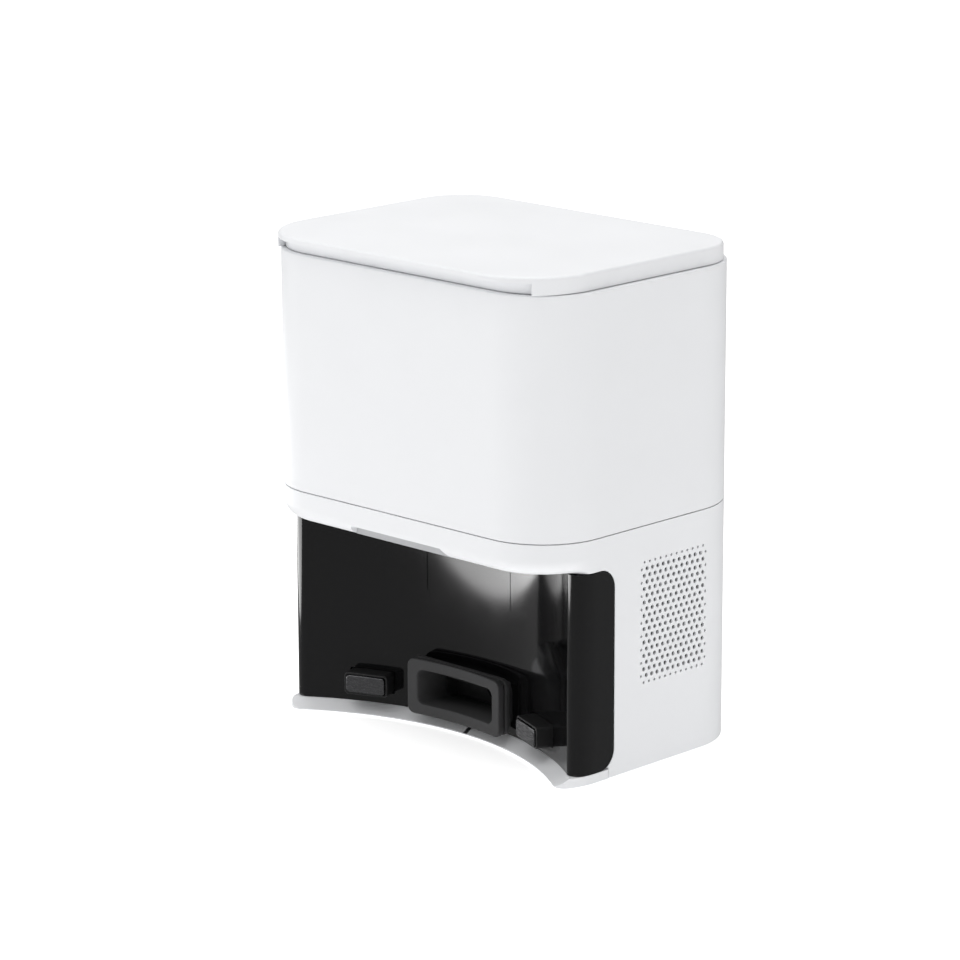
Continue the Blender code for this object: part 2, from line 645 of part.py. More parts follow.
def swept(name, route, radius):
    """A solid bar along a route, made from a bevelled curve."""
    curve = bpy.data.curves.new(name, "CURVE")
    curve.dimensions = "3D"
    curve.bevel_depth = radius
    curve.bevel_resolution = 4
    curve.use_fill_caps = True
    spline = curve.splines.new("POLY")
    spline.points.add(len(route) - 1)
    for point, place in zip(spline.points, route):
        point.co = (*place, 1)
    guide = bpy.data.objects.new(name + "_route", curve)
    CUTTERS.objects.link(guide)
    graph = bpy.context.evaluated_depsgraph_get()
    mesh = bpy.data.meshes.new_from_object(guide.evaluated_get(graph))
    bpy.data.objects.remove(guide)
    bpy.data.curves.remove(curve)
    tidy_mesh(mesh, Matrix.Identity(4), dissolve=False)
    return mesh


def make_tube(name, route):
    """A hollow duct along a route."""
    tube = add_object(name, swept(name, route(0.0), DUCT_RADIUS), BLACK_MATT)
    bore = add_object(name + "_bore", swept(name + "_bore", route(0.004), DUCT_BORE))
    return shade(carve(tube, bore), 40.0)


def make_bag_chamber():
    """Bag chamber: a tub that hangs under the top plate, with the fan's inlet in its floor."""
    outer = rounded(-0.103, -0.076, 0.103, 0.051, 0.026)
    inner = rounded(-0.101, -0.074, 0.101, 0.049, 0.024)
    tub = slab("bag_chamber", [outer], 0.141, 0.2692, INNER_ABS)
    hollow = slab("tub_hollow", [inner], 0.143, 0.3)
    nozzle = rod("nozzle_hole", DUCT_RADIUS + 0.0008, 0.04, 0.06, (0, NOZZLE_Z), axis="Y", sides=24)
    inlet = rod("tub_inlet", 0.026, 0.13, 0.15, (FAN_X, FAN_Y), sides=28)
    carve(tub, hollow, nozzle, inlet)

    holder = block("bag_holder", (-0.038, 0.0408, 0.172), (0.038, 0.0487, 0.248), BLACK_MATT)
    channel = block("holder_channel", (-0.0353, 0.02, 0.175), (0.0353, 0.0444, 0.26))
    hole = rod("holder_hole", DUCT_RADIUS + 0.0008, 0.03, 0.06, (0, NOZZLE_Z), axis="Y", sides=24)
    carve(holder, channel, hole)

    card = block("bag_collar", (-0.035, 0.0412, 0.1753), (0.035, 0.0441, 0.246), CARD)
    carve(card, rod("card_hole", 0.0125, 0.03, 0.06, (0, NOZZLE_Z), axis="Y", sides=24))
    bag = block("dust_bag", (-0.084, -0.062, 0.1505), (0.084, 0.0405, 0.256), PAPER, 0.018, 3)
    shade(bag, 50.0)

    frame = block("filter_frame", (0.026, -0.018, 0.1433), (0.090, 0.040, 0.1473), INNER_ABS)
    carve(frame, block("filter_pocket", (0.029, -0.015, 0.1445), (0.087, 0.037, 0.16)))
    for i in range(4):
        y = -0.0115 + 0.0130 * i
        carve(frame, block(f"frame_slot_{i}", (0.034, y, 0.14), (0.082, y + 0.009, 0.15)))
    block("inlet_filter", (0.0294, -0.0146, 0.1449), (0.0866, 0.0366, 0.1495), FOAM)


# ---------------------------------------------------------------- fan
def make_fan():
    """Fan under the bag chamber: shroud, motor, cradle, impeller on its shaft, and seals."""
    centre = (FAN_X, FAN_Y)
    deck = slab("mid_deck", [casing(WALL + GAP, front_cut=-0.028)], DECK_LOW, DECK_HIGH, INNER_ABS)
    carve(deck, rod("deck_duct", DUCT_RADIUS + 0.0012, 0.1, 0.15, (0, DUCT_Y), sides=24))
    carve(deck, rod("deck_inlet", 0.026, 0.1, 0.15, centre, sides=28))
    ring("tub_gasket", 0.033, 0.0265, DECK_HIGH + GAP, 0.141 - GAP, centre, RUBBER, sides=28)

    shroud = rod("fan_shroud", FAN_SHROUD, 0.0440, 0.1276, centre, material=BLACK_MATT, sides=36)
    inside = rod("shroud_hollow", FAN_SHROUD - 0.0022, 0.0464, 0.14, centre, sides=36)
    side = block("shroud_window", (FAN_X + 0.02, FAN_Y - 0.016, 0.070), (FAN_X + 0.05, FAN_Y + 0.016, 0.096))
    shade(carve(shroud, inside, side))
    ring("fan_mount", 0.024, 0.012, 0.0467, 0.0520, centre, RUBBER, sides=28)
    ring("fan_gasket", FAN_SHROUD, 0.0325, 0.1279, DECK_LOW - GAP, centre, RUBBER, sides=36)
    ring("motor_cradle", 0.0355, 0.0264, 0.056, 0.064, centre, RUBBER, sides=28)
    ring("fan_cover", 0.0355, 0.016, 0.1165, 0.1185, centre, BLACK_MATT, sides=28)
    can = rod("motor_can", 0.026, 0.0523, 0.096, centre, material=STEEL, sides=28)
    shade(carve(can, rod("can_bore", 0.0029, 0.02, 0.12, centre, sides=16)))

    shaft = rod("motor_shaft", 0.0025, 0.0500, 0.1145, centre, material=STEEL, sides=16)
    impeller = rod("impeller", 0.030, 0.0985, 0.1005, centre, material=INNER_ABS, sides=35)
    fuse(impeller, slab("blades", [blade_outline()], 0.0995, 0.1120))
    carve(impeller, rod("impeller_bore", 0.0029, 0.09, 0.12, centre, sides=16))
    joint_frame("impeller_axis", (FAN_X, FAN_Y, 0.1), [shaft, impeller])

    block("exhaust_filter", (0.1010, -0.0060, 0.0502), (0.1080, 0.0440, 0.1165), FOAM)
    outer = [(-0.0085, 0.0477), (0.0465, 0.0477), (0.0465, 0.1190), (-0.0085, 0.1190)]
    inner = [(-0.0063, 0.0499), (0.0443, 0.0499), (0.0443, 0.1168), (-0.0063, 0.1168)]
    slab("exhaust_frame", [outer, inner], 0.0998, 0.1096, BLACK_MATT, axis="X")


def blade_outline():
    """Plan of the impeller's seven backward-swept blades, joined at a round hub."""
    blades = 7
    hub = 0.008
    tip = 0.0285
    sweep = math.radians(38)
    thick = math.radians(3.2)
    points = []
    for i in range(blades):
        base = 2 * math.pi * i / blades
        for step in range(4):
            part = step / 3
            radius = hub + (tip - hub) * part
            turn = base + sweep * part
            points.append((FAN_X + radius * math.cos(turn), FAN_Y + radius * math.sin(turn)))
        for step in range(4):
            part = 1 - step / 3
            radius = hub + (tip - hub) * part
            turn = base + sweep * part + thick * hub / radius + thick
            points.append((FAN_X + radius * math.cos(turn), FAN_Y + radius * math.sin(turn)))
        middle = base + math.pi / blades + thick
        points.append((FAN_X + hub * math.cos(middle), FAN_Y + hub * math.sin(middle)))
    return points


# ---------------------------------------------------------------- charging contacts and electronics
def contact_box(name, sign, reach, half, heights, material=None, bevel=0.0):
    """A box turned to face the dock centre; reach is its near and far distance from there."""
    thing = block(name, (-half, reach[0], heights[0]), (half, reach[1], heights[1]), material, bevel)
    spot = Vector(thing.location)
    turn = Matrix.Rotation(-sign * CONTACT_ANGLE, 4, "Z")
    thing.data.transform(Matrix.Translation(spot))
    thing.data.transform(turn)
    thing.data.transform(Matrix.Translation((0, DOCK_Y, 0)))
    thing.location = (0, 0, 0)
    return thing


def make_contacts():
    """Charging contacts: a black holder, a sprung plate that slides in it, and a leaf spring."""
    for sign, side in ((-1, "left"), (1, "right")):
        holder = contact_box("contact_holder_" + side, sign, (0.1708, 0.1870), 0.0133,
                             (0.0131, 0.0258), BLACK_MATT)
        pocket = contact_box("contact_pocket_" + side, sign, (0.16, 0.1785), 0.0122, (0.0141, 0.0248))
        carve(holder, pocket)
        plate = contact_box("contact_plate_" + side, sign, (CONTACT_RADIUS, 0.1727), 0.0118,
                            (0.0145, 0.0244), STEEL, bevel=0.0004)
        contact_box("contact_spring_" + side, sign, (0.1753, 0.1780), 0.0080, (0.0180, 0.0210), STEEL)
        angle = math.pi / 2 - sign * CONTACT_ANGLE
        face = (CONTACT_RADIUS * math.cos(angle), DOCK_Y + CONTACT_RADIUS * math.sin(angle), 0.01945)
        joint_frame("contact_axis_" + side, face, [plate])


def make_electronics():
    """Power inlet, power board, control board and the lid's magnetic sensor."""
    inlet = block("power_inlet", (-0.0702, 0.0640, 0.0138), (-0.0498, 0.0884, 0.0282), BLACK_MATT)
    carve(inlet, block("inlet_well", (-0.0670, 0.0760, 0.0165), (-0.0530, 0.1, 0.0255)))
    for x in (-0.0635, -0.0565):
        fuse(inlet, rod(f"inlet_pin_{x:.4f}", 0.0012, 0.07, 0.0860, (x, 0.021), axis="Y", sides=10))
    power = block("power_board", (-0.096, -0.012, 0.0110), (-0.041, 0.058, 0.0126), BOARD)
    fuse(power, block("transformer", (-0.092, 0.004, 0.0120), (-0.064, 0.030, 0.0340)))
    fuse(power, rod("capacitor", 0.008, 0.0120, 0.0400, (-0.051, 0.014), sides=18))
    fuse(power, block("heat_sink", (-0.062, 0.036, 0.0120), (-0.043, 0.052, 0.0300)))
    control = block("control_board", (-0.1065, -0.010, 0.050), (-0.1049, 0.050, 0.112), BOARD)
    fuse(control, block("processor", (-0.1055, 0.010, 0.072), (-0.1020, 0.026, 0.088)))
    fuse(control, block("relay", (-0.1055, 0.030, 0.060), (-0.0930, 0.046, 0.076)))
    sensor = block("lid_sensor", (0.077, 0.0570, 0.2655), (0.093, 0.0690, 0.2671), BOARD)
    fuse(sensor, block("sensor_chip", (0.083, 0.0610, 0.2665), (0.087, 0.0650, 0.2690)))


make_lower_housing()
make_upper_housing()
make_base()
make_feet_and_screws()
make_liner()
make_ceiling()
make_light()
make_window()
make_lid()
make_port()
make_duct()
make_bag_chamber()
make_fan()
make_contacts()
make_electronics()
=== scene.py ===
"""Looks of the auto-empty dock: shells, bay, port, contacts, bag and studio, built round the frame."""

import math

import bmesh
import bpy
from mathutils import Matrix, Vector


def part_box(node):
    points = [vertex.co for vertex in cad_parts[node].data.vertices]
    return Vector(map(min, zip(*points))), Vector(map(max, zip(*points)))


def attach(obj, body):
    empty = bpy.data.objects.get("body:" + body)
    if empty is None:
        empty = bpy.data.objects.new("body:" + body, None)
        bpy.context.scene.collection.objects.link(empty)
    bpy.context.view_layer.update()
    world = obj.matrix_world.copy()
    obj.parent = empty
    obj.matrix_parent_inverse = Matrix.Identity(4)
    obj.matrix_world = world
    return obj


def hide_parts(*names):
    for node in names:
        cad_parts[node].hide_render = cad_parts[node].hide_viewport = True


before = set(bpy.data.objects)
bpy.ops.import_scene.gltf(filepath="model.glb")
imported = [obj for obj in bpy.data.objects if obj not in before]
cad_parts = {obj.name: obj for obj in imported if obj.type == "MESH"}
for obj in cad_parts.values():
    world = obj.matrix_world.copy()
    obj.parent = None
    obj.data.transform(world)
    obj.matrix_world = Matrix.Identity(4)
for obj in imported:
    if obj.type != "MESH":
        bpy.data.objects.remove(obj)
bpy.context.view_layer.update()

bl_info = {
    "name": "Auto-empty dock",
    "version": (1, 0, 0),
    "blender": (4, 5, 0),
    "location": "View3D > Sidebar > Dock",
    "description": "Builds the casings, bay, port, contacts, bag and studio of a robot's dock",
    "category": "Object",
}

MM = 0.001
SHARP = math.radians(28)
# Points closer than this are merged in a finished mesh, in metres.
WELD = 2e-6
QUARTER = math.pi / 2
# How far cutters that go right through the dock reach from its middle.
PAST = 0.2

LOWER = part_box("lower_housing")
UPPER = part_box("upper_housing")
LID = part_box("lid")
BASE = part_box("base_pan")
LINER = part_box("bay_liner")
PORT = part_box("port_collar")
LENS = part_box("status_lens")
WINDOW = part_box("ir_window")
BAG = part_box("dust_bag")


def linear(text):
    """Linear colour of an sRGB hex value."""
    parts = [int(text[i:i + 2], 16) / 255 for i in (1, 3, 5)]
    return tuple(c / 12.92 if c <= 0.04045 else ((c + 0.055) / 1.055) ** 2.4 for c in parts)


def length(name, text, value):
    """A property that holds a size in metres."""
    return bpy.props.FloatProperty(name=name, description=text, default=value, unit="LENGTH",
                                   precision=4)


def colour(name, text, value):
    """A property that holds a colour."""
    return bpy.props.FloatVectorProperty(name=name, description=text, default=linear(value),
                                         subtype="COLOR", min=0.0, max=1.0)


class CasingSizes(bpy.types.PropertyGroup):
    """Plan and edges of the casings and the lid."""
    front_corner: length("Front corner", "Plan radius of the front corners", 39.5 * MM)
    back_corner: length("Back corner", "Plan radius of the back corners", 45.9 * MM)
    wall: length("Wall", "Moulded wall thickness", 2.4 * MM)
    edge: length("Edge", "Rounding of the casings' rims", 0.35 * MM)
    top_edge: length("Top edge", "Rounding of the upper casing's top", 1.0 * MM)
    lip_round: length("Lip rounding", "Rounding under the lip over the bay", 9.0 * MM)
    lip_depth: length("Lip depth", "Thickness of the lip from front to back", 12.0 * MM)
    lip_height: length("Lip height", "Height of the thick part of the lip", 10.3 * MM)
    ledge: length("Ledge", "Strip of casing that shows round the lid", 2.9 * MM)
    lid_front_corner: length("Lid front corner", "Plan radius of the lid's front", 42.2 * MM)
    lid_back_corner: length("Lid back corner", "Plan radius of the lid's back", 31.7 * MM)
    lid_edge: length("Lid edge", "Rounding of the lid's top rim", 1.8 * MM)
    scoop_half: length("Finger recess", "Half width of the recess under the lid", 96.7 * MM)
    scoop_top: length("Recess top", "Height of the underside of the lid's lip", 278.9 * MM)


class BaySizes(bpy.types.PropertyGroup):
    """The docking bay and what stands in it."""
    centre: length("Robot centre", "Y of the docked robot's centre", -204.4 * MM)
    radius: length("Wall radius", "Radius of the bay's curved wall", 181 * MM)
    ramp: length("Ramp radius", "Radius at the foot of the base's slope", 173 * MM)
    top: length("Bay top", "Height of the lip's underside", 119.3 * MM)
    cheek_back: length("Cheek back", "Y of the cheeks' rear edge", -28.6 * MM)
    cheek_corner: length("Cheek corner", "Rounding of the cheeks' rear corners", 11 * MM)
    tip: length("Tip", "Rounding where wall and cheek meet", 6.4 * MM)
    base_tip: length("Base tip", "Rounding of the base's two front tips", 6 * MM)
    port_corner: length("Port corner", "Rounding of the port's frame", 4.6 * MM)
    port_face: length("Port face", "Port's distance from the robot's centre", 168.7 * MM)
    contact_face: length("Contact face", "Contacts' distance from the centre", 169.7 * MM)
    contact_angle: bpy.props.FloatProperty(
        name="Contact angle", description="Angle of each contact from the middle",
        default=math.radians(21.7), subtype="ANGLE")


class VentSizes(bpy.types.PropertyGroup):
    """Staggered round perforations of the exhaust."""
    rows: bpy.props.IntProperty(name="Rows", description="Rows of holes", default=19, min=1)
    columns: bpy.props.IntProperty(name="Columns", description="Holes in the longest rows",
                                   default=13, min=1)
    pitch: length("Pitch", "Spacing along a row", 4.35 * MM)
    row_pitch: length("Row pitch", "Spacing between rows", 3.77 * MM)
    hole: length("Hole", "Radius of a hole", 1.27 * MM)
    small_hole: length("Small hole", "Radius of the holes along the border", 0.85 * MM)
    middle_y: length("Middle Y", "Y of the pattern's centre", 19.05 * MM)
    middle_z: length("Middle Z", "Height of the pattern's centre", 83.3 * MM)


class Finishes(bpy.types.PropertyGroup):
    """Colours of the finishes."""
    white: colour("White ABS", "Casings and lid", "#EEEFF1")
    gloss: colour("Gloss black ABS", "Bay wall and cheeks", "#0E0E0F")
    matt: colour("Matt black ABS", "Ducts and holders", "#1B1B1C")
    grey: colour("Grey ABS", "Parts inside the casing", "#B9BABC")
    rubber: colour("Rubber", "Suction port, seals and feet", "#424243")
    metal: colour("Nickel", "Pins, screws and motor", "#B9B9BB")
    plate: colour("Black nickel", "Contact plates", "#6E6E70")
    duct: colour("Duct mouth", "Textured ABS inside the suction port", "#4C4C4D")
    lens: colour("Lens", "Frosted status light", "#C4C5C7")
    fleece: colour("Fleece", "Dust bag", "#E4E0D6")
    card: colour("Card", "Dust bag's collar", "#BFA67C")
    foam: colour("Foam", "Filters", "#33363B")
    mask: colour("Solder mask", "Circuit boards", "#14532D")


class StudioSettings(bpy.types.PropertyGroup):
    """Camera and soft studio light."""
    lens: bpy.props.FloatProperty(name="Lens", description="Focal length in millimetres",
                                  default=152.4, unit="CAMERA")
    azimuth: bpy.props.FloatProperty(name="Azimuth", description="Camera's turn to the right",
                                     default=math.radians(43.72), subtype="ANGLE")
    elevation: bpy.props.FloatProperty(name="Elevation", description="Camera's height angle",
                                       default=math.radians(14.72), subtype="ANGLE")
    distance: length("Distance", "From the camera to its target", 2.2604)
    target: bpy.props.FloatVectorProperty(name="Target", description="Point looked at",
                                          default=(0.01771, 0.0031, 0.12873), subtype="XYZ")
    shift: bpy.props.FloatVectorProperty(name="Shift", description="Frame shift, right and up",
                                         default=(-0.0500, 0.0293), size=2)
    floor: colour("Floor", "Studio floor", "#FFFFFF")
    floor_glow: bpy.props.FloatProperty(name="Floor glow", description="Light of the floor itself",
                                        default=0.55, min=0.0)
    sky: bpy.props.FloatProperty(name="Surroundings", description="Strength of the grey room",
                                 default=0.30, min=0.0)
    key: bpy.props.FloatProperty(name="Key", description="Radiance of the front left panel",
                                 default=0.6, min=0.0)
    fill: bpy.props.FloatProperty(name="Fill", description="Radiance of the right panel",
                                  default=0.12, min=0.0)
    top: bpy.props.FloatProperty(name="Top", description="Radiance of the overhead panel",
                                 default=2.0, min=0.0)
    card: bpy.props.FloatProperty(name="Card", description="Radiance of the bay's reflected card",
                                  default=6.0, min=0.0)
    far: bpy.props.FloatProperty(name="Far panel", description="Radiance over the far floor",
                                 default=0.5, min=0.0)


# ---------------------------------------------------------------- materials
def node(tree, kind, inputs=None, **settings):
    """Add a node; an input is a value, or an (other node, output name) pair to link."""
    made = tree.nodes.new(kind)
    for name, value in settings.items():
        setattr(made, name, value)
    for name, value in (inputs or {}).items():
        if isinstance(value, tuple) and isinstance(value[0], bpy.types.Node):
            tree.links.new(value[0].outputs[value[1]], made.inputs[name])
        else:
            made.inputs[name].default_value = value
    return made


def per_mm(size):
    """Texture scale of a pattern whose features are this many millimetres apart."""
    return 1 / (size * MM)


def new_material(name):
    """An empty material and the object coordinates that keep its pattern at real size."""
    material = bpy.data.materials.new(name)
    material.use_nodes = True
    tree = material.node_tree
    tree.nodes.clear()
    spot = (node(tree, "ShaderNodeTexCoord"), "Object")
    return material, tree, spot


def darker(tint, part):
    """The colour with this part of its light taken away."""
    return tuple(c * (1 - part) for c in tint)


def surfaced(tree, tint, loss, spread, rough, relief=None, extras=None):
    """Surface whose tint loses part of its light where the pattern spread is low.

    rough is one value, or a pair that follows spread; relief is (pattern, millimetres, strength).
    """
    span = {"Value": spread, "From Min": 0.3, "From Max": 0.7}
    part = node(tree, "ShaderNodeMapRange", span)
    # A colour mix numbers its sockets: 0 is the factor, 6 and 7 the colours, 2 the result.
    tone = node(tree, "ShaderNodeMix", {0: (part, "Result"), 6: (*darker(tint, loss), 1.0),
                                        7: (*tint, 1.0)}, data_type="RGBA")
    inputs = {"Base Color": (tone, 2), "Roughness": rough, **(extras or {})}
    if isinstance(rough, tuple):
        polish = node(tree, "ShaderNodeMapRange", {**span, "To Min": rough[0], "To Max": rough[1]})
        inputs["Roughness"] = (polish, "Result")
    if relief:
        pattern, depth_mm, strength = relief
        bump = node(tree, "ShaderNodeBump", {"Height": pattern, "Strength": strength,
                                             "Distance": depth_mm * MM})
        inputs["Normal"] = (bump, "Normal")
    shader = node(tree, "ShaderNodeBsdfPrincipled", inputs)
    node(tree, "ShaderNodeOutputMaterial", {"Surface": (shader, "BSDF")})


def moulded(name, tint, rough, grain_mm, depth_mm, mottle, extras=None):
    """Moulded plastic or rubber: a mould's fine texture, faint mottling and uneven polish."""
    material, tree, spot = new_material(name)
    cloud_mm = 38
    grain = node(tree, "ShaderNodeTexNoise", {"Vector": spot, "Scale": per_mm(grain_mm),
                                              "Detail": 3.0, "Roughness": 0.55})
    cloud = node(tree, "ShaderNodeTexNoise", {"Vector": spot, "Scale": per_mm(cloud_mm),
                                              "Detail": 3.0})
    surfaced(tree, tint, mottle, (cloud, "Fac"), rough, ((grain, "Fac"), depth_mm, 0.4), extras)
    return material


def brushed_metal(name, tint):
    """Plated steel, brushed: fine lines along one way stretch its highlights."""
    material, tree, spot = new_material(name)
    line_mm = 0.25
    stretch = node(tree, "ShaderNodeMapping", {"Vector": spot, "Scale": (0.05, 0.05, 1.0)})
    lines = node(tree, "ShaderNodeTexNoise", {"Vector": (stretch, "Vector"),
                                              "Scale": per_mm(line_mm), "Detail": 4.0})
    surfaced(tree, tint, 0.18, (lines, "Fac"), (0.18, 0.32), ((lines, "Fac"), 0.01, 0.5),
             {"Metallic": 1.0})
    return material


def bonded_fleece(tint):
    """Non-woven polypropylene: soft fibres pressed flat in a lattice of bonding points."""
    material, tree, spot = new_material("bonded_fleece")
    dot_mm = 1.6
    fibre_mm = 0.5
    dots = node(tree, "ShaderNodeTexVoronoi", {"Vector": spot, "Scale": per_mm(dot_mm),
                                               "Randomness": 0.15})
    fibres = node(tree, "ShaderNodeTexNoise", {"Vector": spot, "Scale": per_mm(fibre_mm),
                                               "Detail": 5.0, "Distortion": 1.5})
    both = node(tree, "ShaderNodeMath", {0: (dots, "Distance"), 1: (fibres, "Fac")},
                operation="MULTIPLY")
    surfaced(tree, tint, 0.14, (fibres, "Fac"), 0.92, ((both, "Value"), 0.35, 0.7),
             {"Sheen Weight": 0.25})
    return material


def pressed_card(tint):
    """Recycled board: matt, with short darker fibres lying every way."""
    material, tree, spot = new_material("pressed_card")
    fibre_mm = 0.9
    fibres = node(tree, "ShaderNodeTexNoise", {"Vector": spot, "Scale": per_mm(fibre_mm),
                                               "Detail": 6.0, "Distortion": 2.5})
    surfaced(tree, tint, 0.25, (fibres, "Fac"), 0.88, ((fibres, "Fac"), 0.05, 0.5))
    return material


def open_foam(tint):
    """Reticulated polyurethane foam: open cells, darkened toward each cell's middle as painted shade in
    the pores.
    """
    material, tree, spot = new_material("open_foam")
    cell_mm = 1.3
    cells = node(tree, "ShaderNodeTexVoronoi", {"Vector": spot, "Scale": per_mm(cell_mm)},
                 feature="SMOOTH_F1")
    # The cell pattern takes light from the middle of each cell: painted shade in the pores.
    surfaced(tree, tint, 0.6, (cells, "Distance"), 0.97, ((cells, "Distance"), 0.6, 0.9))
    return material


def solder_mask(tint):
    """Fibreglass board: glossy green mask, lighter where copper tracks run beneath."""
    material, tree, spot = new_material("solder_mask")
    track_mm = 2.2
    track_depth_mm = 0.04
    tracks = node(tree, "ShaderNodeTexBrick", {"Vector": spot, "Scale": per_mm(track_mm),
                                               "Mortar Size": 0.12,
                                               "Color1": (*darker(tint, 0.3), 1.0),
                                               "Color2": (*darker(tint, 0.4), 1.0),
                                               "Mortar": (*tint, 1.0)})
    bump = node(tree, "ShaderNodeBump", {"Height": (tracks, "Fac"), "Strength": 0.6,
                                         "Distance": track_depth_mm * MM})
    shader = node(tree, "ShaderNodeBsdfPrincipled", {"Base Color": (tracks, "Color"),
                                                     "Roughness": 0.34, "Normal": (bump, "Normal")})
    node(tree, "ShaderNodeOutputMaterial", {"Surface": (shader, "BSDF")})
    return material


def make_finishes():
    """Every finish of the dock, by its slot; two are kinds of steel and of black ABS."""
    tints = bpy.context.scene.dock_finishes
    return {
        # Satin ABS: even white, a soft wide highlight and a very fine spark-eroded texture.
        "white_abs": moulded("satin_white_abs", tints.white, (0.36, 0.44), 0.6, 0.006, 0.01),
        # Polished ABS: almost black, with clear reflections slightly softened by handling.
        "black_gloss_abs": moulded("polished_black_abs", tints.gloss, (0.06, 0.09), 30.0, 0.004, 0.06),
        # Textured ABS: dark and dull, with a grain that breaks up its highlights.
        "black_matt_abs": moulded("textured_black_abs", tints.matt, (0.42, 0.55), 0.7, 0.03, 0.12),
        # Plain ABS: light grey and dull, for parts that are seen only with the lid open.
        "grey_abs": moulded("textured_grey_abs", tints.grey, (0.45, 0.58), 0.8, 0.02, 0.05),
        # Silicone rubber: dark grey, with no clear highlight and a slight bloom of dust.
        "dark_rubber": moulded("moulded_rubber", tints.rubber, (0.62, 0.8), 0.9, 0.02, 0.22),
        # Frosted polycarbonate: pale and cloudy, and a little light passes into it.
        "light_lens": moulded("frosted_polycarbonate", tints.lens, (0.3, 0.4), 0.5, 0.01, 0.05,
                              {"Transmission Weight": 0.2}),
        "steel": brushed_metal("brushed_nickel", tints.metal),
        "black_nickel": brushed_metal("black_nickel", tints.plate),
        "duct_abs": moulded("textured_duct_abs", tints.duct, (0.5, 0.62), 0.7, 0.03, 0.1),
        "bag_fleece": bonded_fleece(tints.fleece),
        "bag_card": pressed_card(tints.card),
        "filter_foam": open_foam(tints.foam),
        "circuit_board": solder_mask(tints.mask),
    }


FINISH = {}


# ---------------------------------------------------------------- outlines
def arc(centre_x, centre_y, radius, start, end, steps):
    """Points along an arc, with the angles in radians."""
    angles = [start + (end - start) * i / steps for i in range(steps + 1)]
    return [(centre_x + radius * math.cos(a), centre_y + radius * math.sin(a)) for a in angles]


def rounded(low_u, low_v, high_u, high_v, low_radius, high_radius=None, steps=12):
    """A rectangle whose lower and upper corners are rounded."""
    top = low_radius if high_radius is None else high_radius
    points = arc(high_u - low_radius, low_v + low_radius, low_radius, -QUARTER, 0, steps)
    points += arc(high_u - top, high_v - top, top, 0, QUARTER, steps)
    points += arc(low_u + top, high_v - top, top, QUARTER, math.pi, steps)
    points += arc(low_u + low_radius, low_v + low_radius, low_radius, math.pi, 3 * QUARTER, steps)
    return points


def mirrored(right):
    """An outline's right half, given from front to back, with its left half after it."""
    return right + [(-x, y) for x, y in reversed(right)]


def front_corner(inset):
    """Centre and radius of the casing's front right corner."""
    radius = bpy.context.scene.dock_casing.front_corner
    return UPPER[1].x - radius, UPPER[0].y + radius, radius - inset


def back_arc(inset, steps=28):
    """The casing's back right corner."""
    radius = bpy.context.scene.dock_casing.back_corner
    return arc(UPPER[1].x - radius, UPPER[1].y - radius, radius - inset, 0, QUARTER, steps)


def casing(inset=0.0, steps=32):
    """Plan of the casing, moved in by inset."""
    return mirrored(arc(*front_corner(inset), -QUARTER, 0, steps) + back_arc(inset))


def casing_behind(inset, line):
    """Plan of the casing, moved in by inset, behind a straight line across it."""
    centre_x, centre_y, radius = front_corner(inset)
    if line >= centre_y:
        return mirrored([(UPPER[1].x - inset, line)] + back_arc(inset))
    start = math.asin((line - centre_y) / radius)
    return mirrored(arc(centre_x, centre_y, radius, start, 0, 32) + back_arc(inset))


def crossing(radius, centre, other):
    """Right-hand crossing of a circle about the robot's centre with another circle."""
    middle = bpy.context.scene.dock_bay.centre
    dx = centre[0]
    dy = centre[1] - middle
    apart = math.hypot(dx, dy)
    along = (radius ** 2 - other ** 2 + apart ** 2) / (2 * apart)
    across = math.sqrt(radius ** 2 - along ** 2)
    return (dx * along + dy * across) / apart, middle + (dy * along - dx * across) / apart


def behind_circle(inset, radius, tip=0.0):
    """Plan of the casing, moved in by inset, behind a circle, with its front tips rounded."""
    middle = bpy.context.scene.dock_bay.centre
    centre_x, centre_y, corner = front_corner(inset)
    x, y = crossing(radius + tip, (centre_x, centre_y), corner - tip)
    start = math.atan2(y - centre_y, x - centre_x)
    face_end = math.atan2(y - middle, x)
    right = arc(x, y, tip, face_end - math.pi, start, 16)[:-1] if tip else []
    right += arc(centre_x, centre_y, corner, start, 0, 24) + back_arc(inset)
    front = arc(0, middle, radius, math.pi - face_end, face_end, 120)
    return mirrored(right) + front[1:-1]


def lid_outline(inset=0.0):
    """Plan of the lid, moved in by inset."""
    sizes = bpy.context.scene.dock_casing
    return rounded(LID[0].x + inset, LID[0].y + inset, LID[1].x - inset, LID[1].y - inset,
                   sizes.lid_front_corner - inset, sizes.lid_back_corner - inset, steps=28)


# ---------------------------------------------------------------- solids
def new_object(name, mesh):
    """A linked object with this mesh."""
    thing = bpy.data.objects.new(name, mesh)
    bpy.context.scene.collection.objects.link(thing)
    return thing


def from_bmesh(name, work):
    """A linked object made from a bmesh whose faces are first turned outwards."""
    bmesh.ops.remove_doubles(work, verts=work.verts, dist=1e-7)
    bmesh.ops.recalc_face_normals(work, faces=work.faces)
    mesh = bpy.data.meshes.new(name)
    work.to_mesh(mesh)
    work.free()
    return new_object(name, mesh)


def loft(name, rings, tube=False):
    """A solid through rings of equal point counts, capped, or joined end to end as a tube."""
    work = bmesh.new()
    loops = [[work.verts.new(point) for point in ring] for ring in rings]
    pairs = list(zip(loops, loops[1:]))
    if tube:
        pairs.append((loops[-1], loops[0]))
    else:
        work.faces.new(loops[0][::-1])
        work.faces.new(loops[-1])
    count = len(loops[0])
    for low, high in pairs:
        for i in range(count):
            j = (i + 1) % count
            work.faces.new((low[i], low[j], high[j], high[i]))
    return from_bmesh(name, work)


